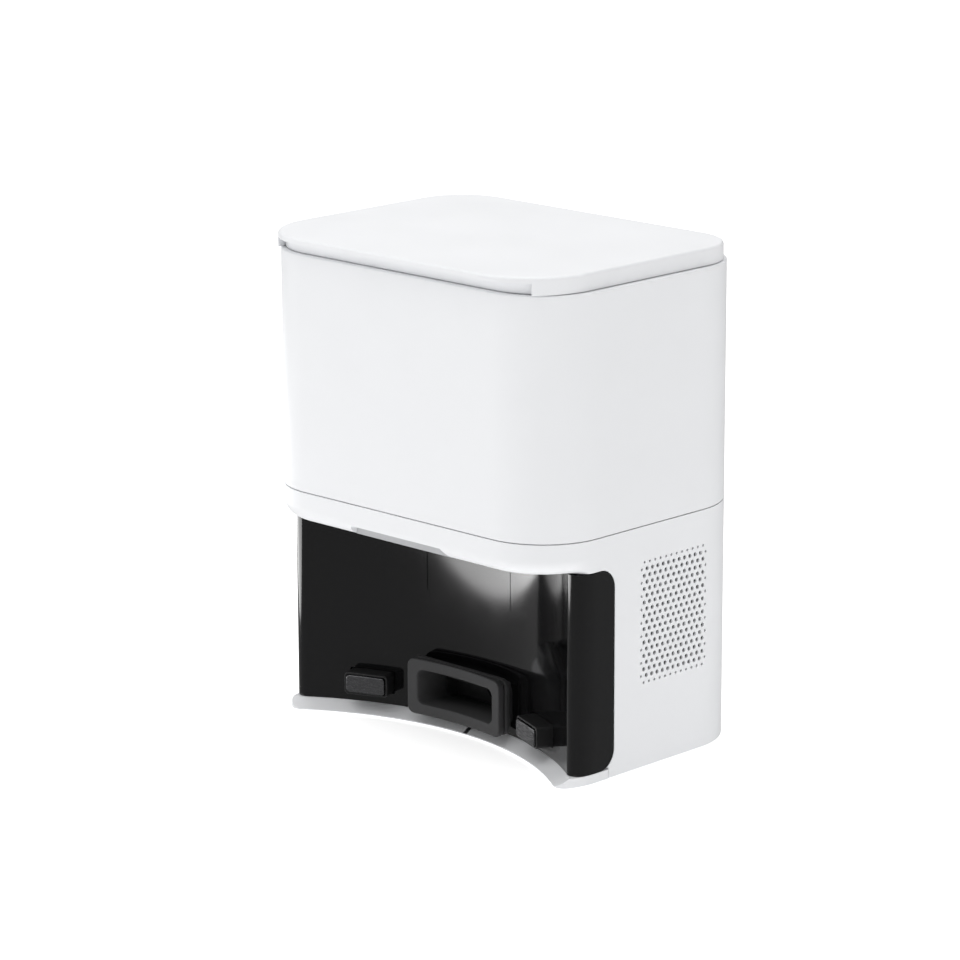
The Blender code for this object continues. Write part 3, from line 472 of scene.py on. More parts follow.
def side_profile(low, high, low_round, high_round, steps=5):
    """(inset, height) pairs up the side of a solid whose lower and upper rims are rounded."""
    turns = [QUARTER * i / steps for i in range(steps + 1)]
    points = [(low_round * (1 - math.sin(t)), low + low_round * (1 - math.cos(t))) for t in turns]
    points += [(high_round * (1 - math.cos(t)), high - high_round * (1 - math.sin(t)))
               for t in turns]
    return points


def upright(name, outline, profile):
    """A solid whose plan outline(inset) follows (inset, height) pairs."""
    return loft(name, [[(x, y, z) for x, y in outline(inset)] for inset, z in profile])


# Where a flat outline's (u, v) and its height w go when it is extruded along each axis.
TURNS = {"X": lambda u, v, w: (w, u, v), "Y": lambda u, v, w: (u, w, v),
         "Z": lambda u, v, w: (u, v, w)}


def prism(name, outline, low, high, axis="Z"):
    """A flat outline extruded from low to high along an axis."""
    place = TURNS[axis]
    return loft(name, [[place(u, v, w) for u, v in outline] for w in (low, high)])


def box_solid(name, low, high):
    """A box between two corners, used for cutting."""
    outline = [(low[0], low[1]), (high[0], low[1]), (high[0], high[1]), (low[0], high[1])]
    return prism(name, outline, low[2], high[2])


def rod(name, radius, low, high, across, axis="Z", sides=48):
    """A round bar along an axis; across is its place in the other two directions."""
    return prism(name, arc(*across, radius, 0, 2 * math.pi, sides)[:-1], low, high, axis)


def applied(thing):
    """Turn the object's modifiers into a plain mesh."""
    graph = bpy.context.evaluated_depsgraph_get()
    mesh = bpy.data.meshes.new_from_object(thing.evaluated_get(graph))
    thing.modifiers.clear()
    thing.data = mesh
    return thing


def combine(thing, operation, others):
    """Cut other solids out of this one, or join them to it, and throw them away."""
    for other in others:
        work = thing.modifiers.new("combine", "BOOLEAN")
        work.operation = operation
        work.object = other
        applied(thing)
        bpy.data.objects.remove(other)
    if not thing.data.polygons:
        raise RuntimeError(f"{thing.name} was cut away")
    return thing


def cut(thing, *others):
    """Cut other solids out of this one."""
    return combine(thing, "DIFFERENCE", others)


def join(thing, *others):
    """Join other solids to this one."""
    return combine(thing, "UNION", others)


def finished(thing, slot, body, *nodes, finish=None):
    """Give a piece its finish and shading, and put it in its CAD nodes' place."""
    mesh = thing.data
    mesh.materials.clear()
    mesh.materials.append(FINISH[finish or slot])
    work = bmesh.new()
    work.from_mesh(mesh)
    bmesh.ops.remove_doubles(work, verts=work.verts, dist=WELD)
    bmesh.ops.dissolve_degenerate(work, edges=work.edges, dist=WELD)
    work.to_mesh(mesh)
    work.free()
    mesh.shade_smooth()
    mesh.set_sharp_from_angle(angle=SHARP)
    weighted = thing.modifiers.new("even_shading", "WEIGHTED_NORMAL")
    weighted.keep_sharp = True
    weighted.weight = 80
    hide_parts(*nodes)
    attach(thing, body)
    return thing


# ---------------------------------------------------------------- casings
def make_upper_shell():
    """Upper casing: a tube with a rounded top, closed by a plate round the bag chamber's mouth."""
    sizes = bpy.context.scene.dock_casing
    low = UPPER[0].z
    top = UPPER[1].z
    wall = sizes.wall
    mouth_half = 100 * MM
    mouth_front = -72 * MM
    mouth_back = 48 * MM
    mouth_corner = 24 * MM
    ear_gap = 0.6 * MM
    ear_front = 73.6 * MM
    ear_back = 81.6 * MM
    ear_reach = 9 * MM
    shell = upright("upper_shell", casing, side_profile(low, top, sizes.edge, sizes.top_edge))
    hollow = prism("hollow", casing(wall), low - wall, top - wall)
    mouth = prism("mouth", rounded(-mouth_half, mouth_front, mouth_half, mouth_back, mouth_corner),
                  low, top + wall)
    ears = [box_solid("ear", (box[0].x - ear_gap, ear_front, top - ear_reach),
                      (box[1].x + ear_gap, ear_back, top + ear_reach)) for box in hinge_ears()]
    cut(shell, hollow, mouth, *ears)
    return finished(shell, "white_abs", "dock", "upper_housing")


def hinge_ears():
    """Boxes of the upright part of the two hinge brackets."""
    half = 5 * MM
    ears = []
    for side in ("left", "right"):
        low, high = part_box("hinge_bracket_" + side)
        middle = (low.x + high.x) / 2
        ears.append((Vector((middle - half, low.y, low.z)), Vector((middle + half, high.y, high.z))))
    return ears


def middle_of(name):
    """X and Y of the middle of a CAD part's box."""
    low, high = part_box(name)
    return (low.x + high.x) / 2, (low.y + high.y) / 2


def lip_ring(inset, height, fade_front=-60 * MM, fade_back=-47 * MM):
    """Casing outline at a height, moved in by inset over the bay and not at all behind it."""
    ring = []
    for (x, y), (inner_x, inner_y) in zip(casing(), casing(inset)):
        part = min(max((fade_back - y) / (fade_back - fade_front), 0.0), 1.0)
        part = part * part * (3 - 2 * part)
        ring.append((x + (inner_x - x) * part, y + (inner_y - y) * part, height))
    return ring


def bay_side(margin):
    """Side view of the bay's opening and its cheeks, grown by margin."""
    bay = bpy.context.scene.dock_bay
    gap = 0.3 * MM
    clear = 20 * MM
    low = LINER[0].z - margin
    high = bay.top - gap + margin
    back = bay.cheek_back + margin
    radius = bay.cheek_corner + margin
    front = UPPER[0].y - clear
    points = [(front, low)] + arc(back - radius, low + radius, radius, -QUARTER, 0, 16)
    return points + arc(back - radius, high - radius, radius, 0, QUARTER, 16) + [(front, high)]


def light_outline(inset):
    """Front view of the status light's slot: round at its left end, tapered at its right."""
    bay = bpy.context.scene.dock_bay
    corner = 3 * MM
    taper = 4 * MM
    gap = 0.3 * MM
    past_lip = 2.1 * MM
    shoulder_rise = 1.5 * MM
    half = LENS[1].x + gap - inset
    low = LENS[0].z if inset else bay.top - past_lip
    high = LENS[1].z + gap - inset
    shoulder = bay.top + shoulder_rise - inset
    left = arc(-half + corner, high - corner, corner, QUARTER, math.pi, 10)
    return left + [(-half, low), (half, low), (half, shoulder), (half - taper - inset, high)]


def perforation_tree():
    """Geometry Nodes tree that lays round cutters in staggered rows, small along the border."""
    tree, given = new_tree("perforations", [
        ("Rows", "Int"), ("Columns", "Int"), ("Pitch", "Float"), ("Row pitch", "Float"),
        ("Hole", "Float"), ("Small hole", "Float"), ("Depth", "Float"), ("Place", "Vector")])
    position = node(tree, "GeometryNodeInputPosition")
    spot = node(tree, "ShaderNodeSeparateXYZ", {"Vector": (position, "Position")})
    near = 0.1
    known = {"x": (spot, "X"), "y": (spot, "Y")}
    for label in ("Rows", "Columns", "Pitch", "Row pitch", "Hole", "Small hole"):
        known[label] = (given, label)
    # Each step has a name, an operation, and numbers or the names of what is known before it.
    for name, operation, *parts in (
            ("gaps", "SUBTRACT", "Columns", 1.0),
            ("row gaps", "SUBTRACT", "Rows", 1.0),
            ("width", "MULTIPLY", "gaps", "Pitch"),
            ("height", "MULTIPLY", "row gaps", "Row pitch"),
            ("half gaps", "MULTIPLY", "gaps", 0.5),
            ("half row gaps", "MULTIPLY", "row gaps", 0.5),
            ("rows from middle", "DIVIDE", "y", "Row pitch"),
            ("row place", "ADD", "rows from middle", "half row gaps"),
            ("row", "ROUND", "row place"),
            ("columns from middle", "DIVIDE", "x", "Pitch"),
            ("column place", "ADD", "columns from middle", "half gaps"),
            ("column", "ROUND", "column place"),
            ("remainder", "MODULO", "row", 2.0),
            ("short", "COMPARE", "remainder", 0.0, near),
            ("long", "SUBTRACT", 1.0, "short"),
            ("last", "COMPARE", "column", "gaps", near),
            ("first", "COMPARE", "column", 0.0, near),
            ("end", "MAXIMUM", "first", "last"),
            ("long end", "MULTIPLY", "long", "end"),
            ("top row", "COMPARE", "row", "row gaps", near),
            ("bottom row", "COMPARE", "row", 0.0, near),
            ("end row", "MAXIMUM", "top row", "bottom row"),
            ("border", "MAXIMUM", "long end", "end row"),
            ("change", "SUBTRACT", "Small hole", "Hole"),
            ("radius", "MULTIPLY_ADD", "border", "change", "Hole"),
            ("half if short", "MULTIPLY", "short", 0.5),
            ("nudge", "MULTIPLY", "half if short", "Pitch"),
            ("spare", "MULTIPLY", "short", "last")):
        inputs = {i: known.get(part, part) for i, part in enumerate(parts)}
        known[name] = (node(tree, "ShaderNodeMath", inputs, operation=operation), "Value")
    grid = node(tree, "GeometryNodeMeshGrid",
                {"Size X": known["width"], "Size Y": known["height"],
                 "Vertices X": known["Columns"], "Vertices Y": known["Rows"]})
    size = node(tree, "ShaderNodeCombineXYZ", {"X": known["radius"], "Y": known["radius"], "Z": 1.0})
    shift = node(tree, "ShaderNodeCombineXYZ", {"X": known["nudge"]})
    sized = node(tree, "GeometryNodeStoreNamedAttribute",
                 {"Geometry": (grid, "Mesh"), "Name": "size", "Value": (size, "Vector")},
                 data_type="FLOAT_VECTOR", domain="POINT")
    kept = node(tree, "GeometryNodeDeleteGeometry",
                {"Geometry": (sized, "Geometry"), "Selection": known["spare"]},
                domain="POINT", mode="ALL")
    moved = node(tree, "GeometryNodeSetPosition",
                 {"Geometry": (kept, "Geometry"), "Offset": (shift, "Vector")})
    read = node(tree, "GeometryNodeInputNamedAttribute", {"Name": "size"}, data_type="FLOAT_VECTOR")
    punch = node(tree, "GeometryNodeMeshCylinder", {"Vertices": 16, "Radius": 1.0,
                                                    "Depth": (given, "Depth")})
    punches = node(tree, "GeometryNodeInstanceOnPoints",
                   {"Points": (moved, "Geometry"), "Instance": (punch, "Mesh"),
                    "Scale": (read, "Attribute")})
    upright_rows = (QUARTER, 0.0, QUARTER)
    turned = node(tree, "GeometryNodeTransform",
                  {"Geometry": (punches, "Instances"), "Translation": (given, "Place"),
                   "Rotation": upright_rows})
    end_tree(tree, (turned, "Geometry"), given)
    return tree


def new_tree(name, sockets):
    """A Geometry Nodes tree with named inputs, its finish among them, and one geometry output."""
    tree = bpy.data.node_groups.new(name, "GeometryNodeTree")
    for label, kind in sockets:
        tree.interface.new_socket(label, in_out="INPUT", socket_type="NodeSocket" + kind)
    tree.interface.new_socket("Finish", in_out="INPUT", socket_type="NodeSocketMaterial")
    tree.interface.new_socket("Geometry", in_out="OUTPUT", socket_type="NodeSocketGeometry")
    return tree, node(tree, "NodeGroupInput")


def end_tree(tree, geometry, given):
    """Realize the instances, set their finish and join them to the tree's output."""
    real = node(tree, "GeometryNodeRealizeInstances", {"Geometry": geometry})
    painted = node(tree, "GeometryNodeSetMaterial", {"Geometry": (real, "Geometry"),
                                                     "Material": (given, "Finish")})
    node(tree, "NodeGroupOutput", {"Geometry": (painted, "Geometry")})


def grown(name, tree, values):
    """A plain mesh object made by a Geometry Nodes tree with these input values."""
    thing = new_object(name, bpy.data.meshes.new(name))
    modifier = thing.modifiers.new(name, "NODES")
    modifier.node_group = tree
    for item in tree.interface.items_tree:
        if item.item_type == "SOCKET" and item.in_out == "INPUT" and item.name in values:
            modifier[item.identifier] = values[item.name]
    applied(thing)
    if not thing.data.polygons:
        raise RuntimeError(f"{name} has no faces")
    return thing


def make_perforations():
    """Cutters of the exhaust's round holes, set through the right-hand wall."""
    vent = bpy.context.scene.dock_vent
    sizes = bpy.context.scene.dock_casing
    reach = 3 * sizes.wall
    middle_x = LOWER[1].x - sizes.wall / 2
    values = {"Rows": vent.rows, "Columns": vent.columns, "Pitch": vent.pitch,
              "Row pitch": vent.row_pitch, "Hole": vent.hole, "Small hole": vent.small_hole,
              "Depth": reach, "Place": (middle_x, vent.middle_y, vent.middle_z),
              "Finish": FINISH["white_abs"]}
    return grown("perforations", perforation_tree(), values)


def make_lower_shell():
    """Lower casing: skin, rounded lip over the bay, light slot, perforations and screw bosses."""
    sizes = bpy.context.scene.dock_casing
    bay = bpy.context.scene.dock_bay
    low = LOWER[0].z
    top = LOWER[1].z
    wall = sizes.wall
    gap = 0.3 * MM
    under = -0.01
    lip_drop = 10 * MM
    toe_back = -32.7 * MM
    skirt_top = 0.1
    light_back = -68 * MM
    boss_radius = 6.5 * MM
    boss_top = 30 * MM
    pilot_radius = 1.6 * MM
    pilot_top = 26 * MM
    inlet_low = (-70.5 * MM, 0.07, 13.5 * MM)
    inlet_high = (-49.5 * MM, 0.1, 28.5 * MM)
    lip = [(i * sizes.lip_round, t) for i, t in side_profile(0.0, 1.0, 1.0, 0.0, 14)[:15]]
    rings = [lip_ring(sizes.lip_round, low)]
    rings += [lip_ring(inset, bay.top + part * sizes.lip_round) for inset, part in lip]
    rings += [lip_ring(i, z) for i, z in side_profile(low, top, 0.0, sizes.edge, 4)[5:]]
    shell = loft("lower_shell", rings)
    cut(shell,
        prism("opening", bay_side(gap), -PAST, PAST, "X"),
        prism("rear", casing_behind(wall, bay.cheek_back - MM), low - wall, top + wall),
        prism("lip", casing(sizes.lip_depth), bay.top - lip_drop, top + wall),
        prism("top", casing(wall), bay.top + sizes.lip_height, top + wall),
        box_solid("toe", (-PAST, -PAST, under), (PAST, toe_back, LINER[0].z + MM)),
        prism("low", casing_behind(wall, bay.cheek_back - bay.cheek_corner - MM), under, skirt_top),
        prism("light", light_outline(0.0), -0.1, light_back, "Y"),
        box_solid("inlet", inlet_low, inlet_high))
    for side in ("left", "right"):
        for end in ("front", "back"):
            middle = middle_of(f"screw_{end}_{side}")
            join(shell, rod("boss", boss_radius, BASE[1].z + gap, boss_top, middle))
            cut(shell, rod("pilot", pilot_radius, 0.0, pilot_top, middle, sides=16))
    thin_low = (109 * MM, -9.5 * MM, 47 * MM)
    thin_high = (111.2 * MM, 47.6 * MM, 119.6 * MM)
    cut(shell, box_solid("thinning", thin_low, thin_high))
    cut(shell, make_perforations())
    return finished(shell, "white_abs", "dock", "lower_housing")


def make_lid_shell():
    """Lid: a shallow shell with a rounded rim, whose front lip overhangs the finger recess."""
    sizes = bpy.context.scene.dock_casing
    low = LID[0].z
    top = LID[1].z
    wall = sizes.wall
    under = low - 0.01
    inside_half = 107.2 * MM
    inside_back = 71.5 * MM
    heel_back = 81 * MM
    heel_low = 271 * MM
    heel_gap = 5.1 * MM
    notch_front = 73.3 * MM
    notch_back = 0.09
    skin = 1.8 * MM
    bore_radius = 1.8 * MM
    bore_reach = 6.5 * MM
    lid = upright("lid_shell", lid_outline, side_profile(low, top, sizes.edge, sizes.lid_edge, 8))
    around = rounded(-sizes.scoop_half, LID[0].y - 0.02, sizes.scoop_half, 0.0, MM)
    scoop = cut(prism("scoop", around, under, sizes.scoop_top),
                prism("keep", casing(sizes.ledge), low - 0.02, top))
    front = UPPER[0].y + sizes.ledge + wall
    inside = rounded(-inside_half, front, inside_half, inside_back, 34 * MM, 24 * MM)
    hollow = prism("hollow", inside, under, top - wall)
    pin_low, pin_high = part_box("hinge_pin_left")
    axis_y = (pin_low.y + pin_high.y) / 2
    axis_z = (pin_low.z + pin_high.z) / 2
    rise = axis_z - axis_y - heel_gap
    heel = prism("heel", [(heel_back, heel_back + rise), (76 * MM, heel_low), (85 * MM, heel_low)],
                 -0.1, 0.1, "X")
    cut(lid, scoop, hollow, heel)
    for ear_low, ear_high in hinge_ears():
        cut(lid, box_solid("notch", (ear_low.x - MM, notch_front, under),
                           (ear_high.x + MM, notch_back, top - skin)))
        cut(lid, rod("bore", bore_radius, ear_low.x - bore_reach, ear_high.x + bore_reach,
                     (axis_y, axis_z), "X", sides=20))
    return finished(lid, "white_abs", "lid", "lid")


# ---------------------------------------------------------------- bay
def make_base_plate():
    """Base: white tray under the casing that slopes down to the robot in front."""
    sizes = bpy.context.scene.dock_casing
    bay = bpy.context.scene.dock_bay
    low = BASE[0].z
    top = BASE[1].z
    wall = sizes.wall
    gap = 0.3 * MM
    toe = 1.6 * MM
    reach = 4 * MM
    sides = 360
    floor = 3.4 * MM
    pocket_back = 5.5 * MM
    band_front = -33 * MM
    tray_front = -43 * MM
    shank_radius = 1.7 * MM
    seats_cut = (("foot", 8.3 * MM, 2.2 * MM), ("screw", 3.4 * MM, 2.6 * MM))
    plate = prism("base_plate", behind_circle(0.15 * MM, bay.ramp, bay.base_tip), low, top)
    band = cut(prism("band", casing_behind(-MM, band_front), -0.01, 0.02),
               prism("tray", casing_behind(wall + gap, tray_front), -0.02, 0.03))
    cut(plate, band)
    slope = (bay.radius - bay.ramp) / (top - toe)
    foot = arc(0, bay.centre, bay.ramp - slope * toe, 0, 2 * math.pi, sides)[:-1]
    head = arc(0, bay.centre, bay.radius + slope * reach, 0, 2 * math.pi, sides)[:-1]
    ramp = loft("ramp", [[(x, y, 0.0) for x, y in foot], [(x, y, top + reach) for x, y in head]])
    inside = behind_circle(2 * wall + gap, bay.radius + pocket_back)
    cut(plate, ramp, prism("pocket", inside, floor, 0.02))
    for side in ("left", "right"):
        for end in ("front", "back"):
            for part, radius, height in seats_cut:
                middle = middle_of(f"{part}_{end}_{side}")
                cut(plate, rod("seat", radius, -0.01, height, middle))
                if part == "screw":
                    cut(plate, rod("shank", shank_radius, -0.01, 0.02, middle, sides=16))
    return finished(plate, "white_abs", "dock", "base_pan")


def liner_outline():
    """Plan of the bay wall: a curve, round tips, and a cheek folded back on each side."""
    sizes = bpy.context.scene.dock_casing
    bay = bpy.context.scene.dock_bay
    inset = 0.15 * MM
    thickness = sizes.wall
    centre_x, centre_y, radius = front_corner(inset)
    tip_x, tip_y = crossing(bay.radius + bay.tip, (centre_x, centre_y), radius - bay.tip)
    face_end = math.atan2(tip_y - bay.centre, tip_x)
    turn = math.atan2(tip_y - centre_y, tip_x - centre_x)
    points = arc(0, bay.centre, bay.radius, QUARTER, face_end, 90)
    points += arc(tip_x, tip_y, bay.tip, face_end - math.pi, turn, 18)[1:-1]
    points += arc(centre_x, centre_y, radius, turn, 0, 20)
    side = UPPER[1].x - inset
    points += [(side, bay.cheek_back), (side - thickness, bay.cheek_back)]
    points += arc(centre_x, centre_y, radius - thickness, 0, turn, 16)
    points += arc(tip_x, tip_y, bay.tip - thickness, turn, face_end - math.pi, 14)[1:-1]
    points += arc(0, bay.centre, bay.radius + thickness, face_end, QUARTER, 60)
    return points + [(-x, y) for x, y in reversed(points[1:-1])]


def facing_box(name, sign, reach, half, heights, corner, edge):
    """A block turned to face the robot, with rounded corners and a rounded front edge."""
    bay = bpy.context.scene.dock_bay
    turn = Matrix.Rotation(-sign * bay.contact_angle, 4, "Z")
    rings = []
    for inset, depth in side_profile(reach[0], reach[1], edge, 0.0, 4)[:6]:
        outline = rounded(-half + inset, heights[0] + inset, half - inset, heights[1] - inset,
                          max(corner - inset, 0.05 * MM), steps=6)
        rings.append([turn @ Vector((u, depth, v)) + Vector((0, bay.centre, 0)) for u, v in outline])
    return loft(name, rings)


def make_bay_wall():
    """Polished liner with its cheeks and openings, and the infrared window in it."""
    bay = bpy.context.scene.dock_bay
    low = LINER[0].z
    high = LINER[1].z
    wall = prism("bay_wall", liner_outline(), low, high)
    radius = bay.cheek_corner
    back = bay.cheek_back + 5 * MM
    centre_y = bay.cheek_back - radius
    cheek_inside = 108.5 * MM
    cheek_outside = 130 * MM
    beyond = 0.4
    for edge, step, turn in ((low, radius, -QUARTER), (high, -radius, QUARTER)):
        outline = arc(centre_y, edge + step, radius, turn, 0, 20)
        outline += [(back, edge + step), (back, edge - step * beyond),
                    (centre_y, edge - step * beyond)]
        for ends in ((-cheek_outside, -cheek_inside), (cheek_inside, cheek_outside)):
            cut(wall, prism("cheek_corner", outline, *ends, "X"))
    seam = 0.12 * MM
    half_window = WINDOW[1].x + seam
    cut(wall, box_solid("window", (-half_window, -0.04, WINDOW[0].z - 0.05 * MM),
                        (half_window, 0.0, 0.13)))
    port_hole = rounded(-34.2 * MM, 11.3 * MM, 34.2 * MM, 37.2 * MM, 6 * MM)
    contact_hole = ((0.17, 0.20), 13.9 * MM, (12.8 * MM, 26.1 * MM), 1.2 * MM, 0.0)
    cut(wall, prism("port", port_hole, -0.06, 0.0, "Y"))
    for sign in (-1, 1):
        cut(wall, facing_box("contact_hole", sign, *contact_hole))
    finished(wall, "black_gloss_abs", "dock", "bay_liner")

    wall_back = bay.radius + bpy.context.scene.dock_casing.wall
    half_angle = math.asin(WINDOW[1].x / wall_back)
    outer = arc(0, bay.centre, bay.radius, QUARTER - half_angle, QUARTER + half_angle, 50)
    inner = arc(0, bay.centre, wall_back, QUARTER + half_angle, QUARTER - half_angle, 50)
    window = prism("infrared_window", outer + inner, WINDOW[0].z, WINDOW[1].z)
    finished(window, "black_gloss_abs", "dock", "ir_window")


def with_runs_split(outline, corner_points, pieces):
    """The outline with its straight runs between corners cut into equal pieces, so it can bend."""
    points = []
    for i, (u, v) in enumerate(outline):
        points.append((u, v))
        if (i + 1) % corner_points == 0:
            next_u, next_v = outline[(i + 1) % len(outline)]
            points += [(u + (next_u - u) * k / pieces, v + (next_v - v) * k / pieces)
                       for k in range(1, pieces)]
    return points


def make_suction_port():
    """Rubber port: a soft-edged frame curved to the robot, one bellows fold and a neck."""
    bay = bpy.context.scene.dock_bay
    half = PORT[1].x
    low = PORT[0].z
    high = PORT[1].z
    corner = bay.port_corner
    # Insets in millimetres, each at its part of the way from the face to the flange and past it.
    outside = [(0.7, 0.0), (0.3, 0.03), (0.0, 0.10), (0.0, 0.42), (0.4, 0.48), (2.4, 0.50),
               (2.4, 0.62), (0.4, 0.64), (0.0, 0.70), (0.0, 0.95), (0.3, 1.0), (3.0, 1.0),
               (3.1, 1.08), (3.1, 2.0)]
    rings = [(half - i * MM, low + i * MM, high - i * MM, corner - i * MM, part) for i, part in outside]
    mouth_half = 29 * MM
    mouth_low = 14.5 * MM
    mouth_high = 34.2 * MM
    mouth_corner = 4 * MM
    for outset_mm, part in ((0.0, 2.0), (0.0, 0.30), (0.1, 0.10), (0.35, 0.03), (0.7, 0.0)):
        outset = outset_mm * MM
        rings.append((mouth_half + outset, mouth_low - outset, mouth_high + outset,
                      mouth_corner + outset, part))
    flange_end = -30.5 * MM
    corner_steps = 10
    run_pieces = 16
    curved = []
    for half_width, ring_low, ring_high, ring_corner, part in rings:
        flat = rounded(-half_width, ring_low, half_width, ring_high, ring_corner, steps=corner_steps)
        ring = []
        for x, z in with_runs_split(flat, corner_steps + 1, run_pieces):
            face = bay.centre + math.sqrt(bay.port_face ** 2 - x * x)
            depth = face + (flange_end - face) * min(part, 1.0)
            depth += (PORT[1].y - flange_end) * max(part - 1.0, 0.0)
            ring.append((x, depth, z))
        curved.append(ring)
    port = loft("suction_port", curved, tube=True)
    finished(port, "dark_rubber", "port", "port_collar")


def make_contacts():
    """Charging contacts: a rounded black holder and a sprung black nickel plate."""
    bay = bpy.context.scene.dock_bay
    # Each block: reach from the robot's centre, half width, heights, corner and front edge radius.
    block = ((170.8 * MM, 187 * MM), 13.3 * MM, (13.1 * MM, 25.8 * MM), 2.2 * MM, 0.5 * MM)
    pocket = ((160 * MM, 178.5 * MM), 12.2 * MM, (14.1 * MM, 24.8 * MM), 1.4 * MM, 0.0)
    face = ((bay.contact_face, 172.7 * MM), 11.8 * MM, (14.5 * MM, 24.4 * MM), 1.8 * MM, 0.6 * MM)
    for sign, side in ((-1, "left"), (1, "right")):
        holder = facing_box("contact_block_" + side, sign, *block)
        cut(holder, facing_box("pocket", sign, *pocket))
        finished(holder, "black_matt_abs", "dock", "contact_holder_" + side)
        plate = facing_box("charging_plate_" + side, sign, *face)
        finished(plate, "steel", "contact_" + side, "contact_plate_" + side, finish="black_nickel")


def make_light_lens():
    """Frosted lens of the status light, set in the lip."""
    lens = prism("light_lens", light_outline(0.3 * MM), LENS[0].y, LENS[1].y, "Y")
    finished(lens, "light_lens", "dock", "status_lens")


# ---------------------------------------------------------------- screws and feet
def seat_points(tree, given):
    """Four points at the corners of a trapezium: front and back pairs, set out left and right."""
    both = node(tree, "GeometryNodeJoinGeometry")
    for end in ("Front", "Back"):
        start = node(tree, "ShaderNodeVectorMath", {0: (given, end), 1: (-1.0, 1.0, 1.0)},
                     operation="MULTIPLY")
        line = node(tree, "GeometryNodeMeshLine", {"Count": 2, "Start Location": (start, "Vector"),
                                                   "Offset": (given, end)},
                    mode="END_POINTS")
        tree.links.new(line.outputs["Mesh"], both.inputs["Geometry"])
    return both, "Geometry"


def screw_tree():
    """Tree that sets a countersunk cross-recess screw at each seat."""
    tree, given = new_tree("base_screws", [("Front", "Vector"), ("Back", "Vector"), ("Head", "Float"),
                                           ("Height", "Float"), ("Thread", "Float"),
                                           ("Length", "Float")])
    head = node(tree, "GeometryNodeMeshCylinder", {"Vertices": 32, "Radius": (given, "Head"),
                                                   "Depth": (given, "Height")})
    slots = node(tree, "GeometryNodeJoinGeometry")
    slot_size = (3.6 * MM, 0.8 * MM, 1.2 * MM)
    slot_place = (0.0, 0.0, -0.8 * MM)
    for turn in (0.0, QUARTER):
        slot = node(tree, "GeometryNodeMeshCube", {"Size": slot_size})
        placed = node(tree, "GeometryNodeTransform", {"Geometry": (slot, "Mesh"),
                                                      "Rotation": (0.0, 0.0, turn),
                                                      "Translation": slot_place})
        tree.links.new(placed.outputs["Geometry"], slots.inputs["Geometry"])
    recessed = node(tree, "GeometryNodeMeshBoolean", {"Mesh 1": (head, "Mesh")}, operation="DIFFERENCE")
    tree.links.new(slots.outputs["Geometry"], recessed.inputs["Mesh 2"])
    shank = node(tree, "GeometryNodeMeshCylinder", {"Vertices": 16, "Radius": (given, "Thread"),
                                                    "Depth": (given, "Length")})
    half = node(tree, "ShaderNodeMath", {0: (given, "Length"), 1: 0.5}, operation="MULTIPLY")
    lift = node(tree, "ShaderNodeCombineXYZ", {"Z": (half, "Value")})
    raised_shank = node(tree, "GeometryNodeTransform", {"Geometry": (shank, "Mesh"),
                                                        "Translation": (lift, "Vector")})
    screw = node(tree, "GeometryNodeJoinGeometry")
    tree.links.new(recessed.outputs["Mesh"], screw.inputs["Geometry"])
    tree.links.new(raised_shank.outputs["Geometry"], screw.inputs["Geometry"])
    screws = node(tree, "GeometryNodeInstanceOnPoints", {"Points": seat_points(tree, given),
                                                         "Instance": (screw, "Geometry")})
    end_tree(tree, (screws, "Instances"), given)
    return tree


def foot_tree():
    """Tree that sets a ribbed rubber disc at each seat."""
    tree, given = new_tree("rubber_feet", [("Front", "Vector"), ("Back", "Vector"), ("Radius", "Float"),
                                           ("Height", "Float"), ("Rib", "Float")])
    disc = node(tree, "GeometryNodeMeshCylinder", {"Vertices": 40, "Radius": (given, "Radius"),
                                                   "Depth": (given, "Height")})
    foot = node(tree, "GeometryNodeJoinGeometry")
    tree.links.new(disc.outputs["Mesh"], foot.inputs["Geometry"])
    drop = node(tree, "ShaderNodeMath", {0: (given, "Height"), 1: -0.5}, operation="MULTIPLY")
    lower = node(tree, "ShaderNodeCombineXYZ", {"Z": (drop, "Value")})
    profile = node(tree, "GeometryNodeCurvePrimitiveCircle", {"Resolution": 8, "Radius": (given, "Rib")})
    for part in (0.35, 0.6, 0.85):
        size = node(tree, "ShaderNodeMath", {0: (given, "Radius"), 1: part}, operation="MULTIPLY")
        ring = node(tree, "GeometryNodeCurvePrimitiveCircle", {"Resolution": 40,
                                                               "Radius": (size, "Value")})
        rib = node(tree, "GeometryNodeCurveToMesh", {"Curve": (ring, "Curve"),
                                                     "Profile Curve": (profile, "Curve")})
        placed = node(tree, "GeometryNodeTransform", {"Geometry": (rib, "Mesh"),
                                                      "Translation": (lower, "Vector")})
        tree.links.new(placed.outputs["Geometry"], foot.inputs["Geometry"])
    feet = node(tree, "GeometryNodeInstanceOnPoints", {"Points": seat_points(tree, given),
                                                       "Instance": (foot, "Geometry")})
    end_tree(tree, (feet, "Instances"), given)
    return tree


def seats(part, height):
    """Right-hand front and back seat of the screws or feet, at this height."""
    return [(*middle_of(f"{part}_{end}_right"), height) for end in ("front", "back")]


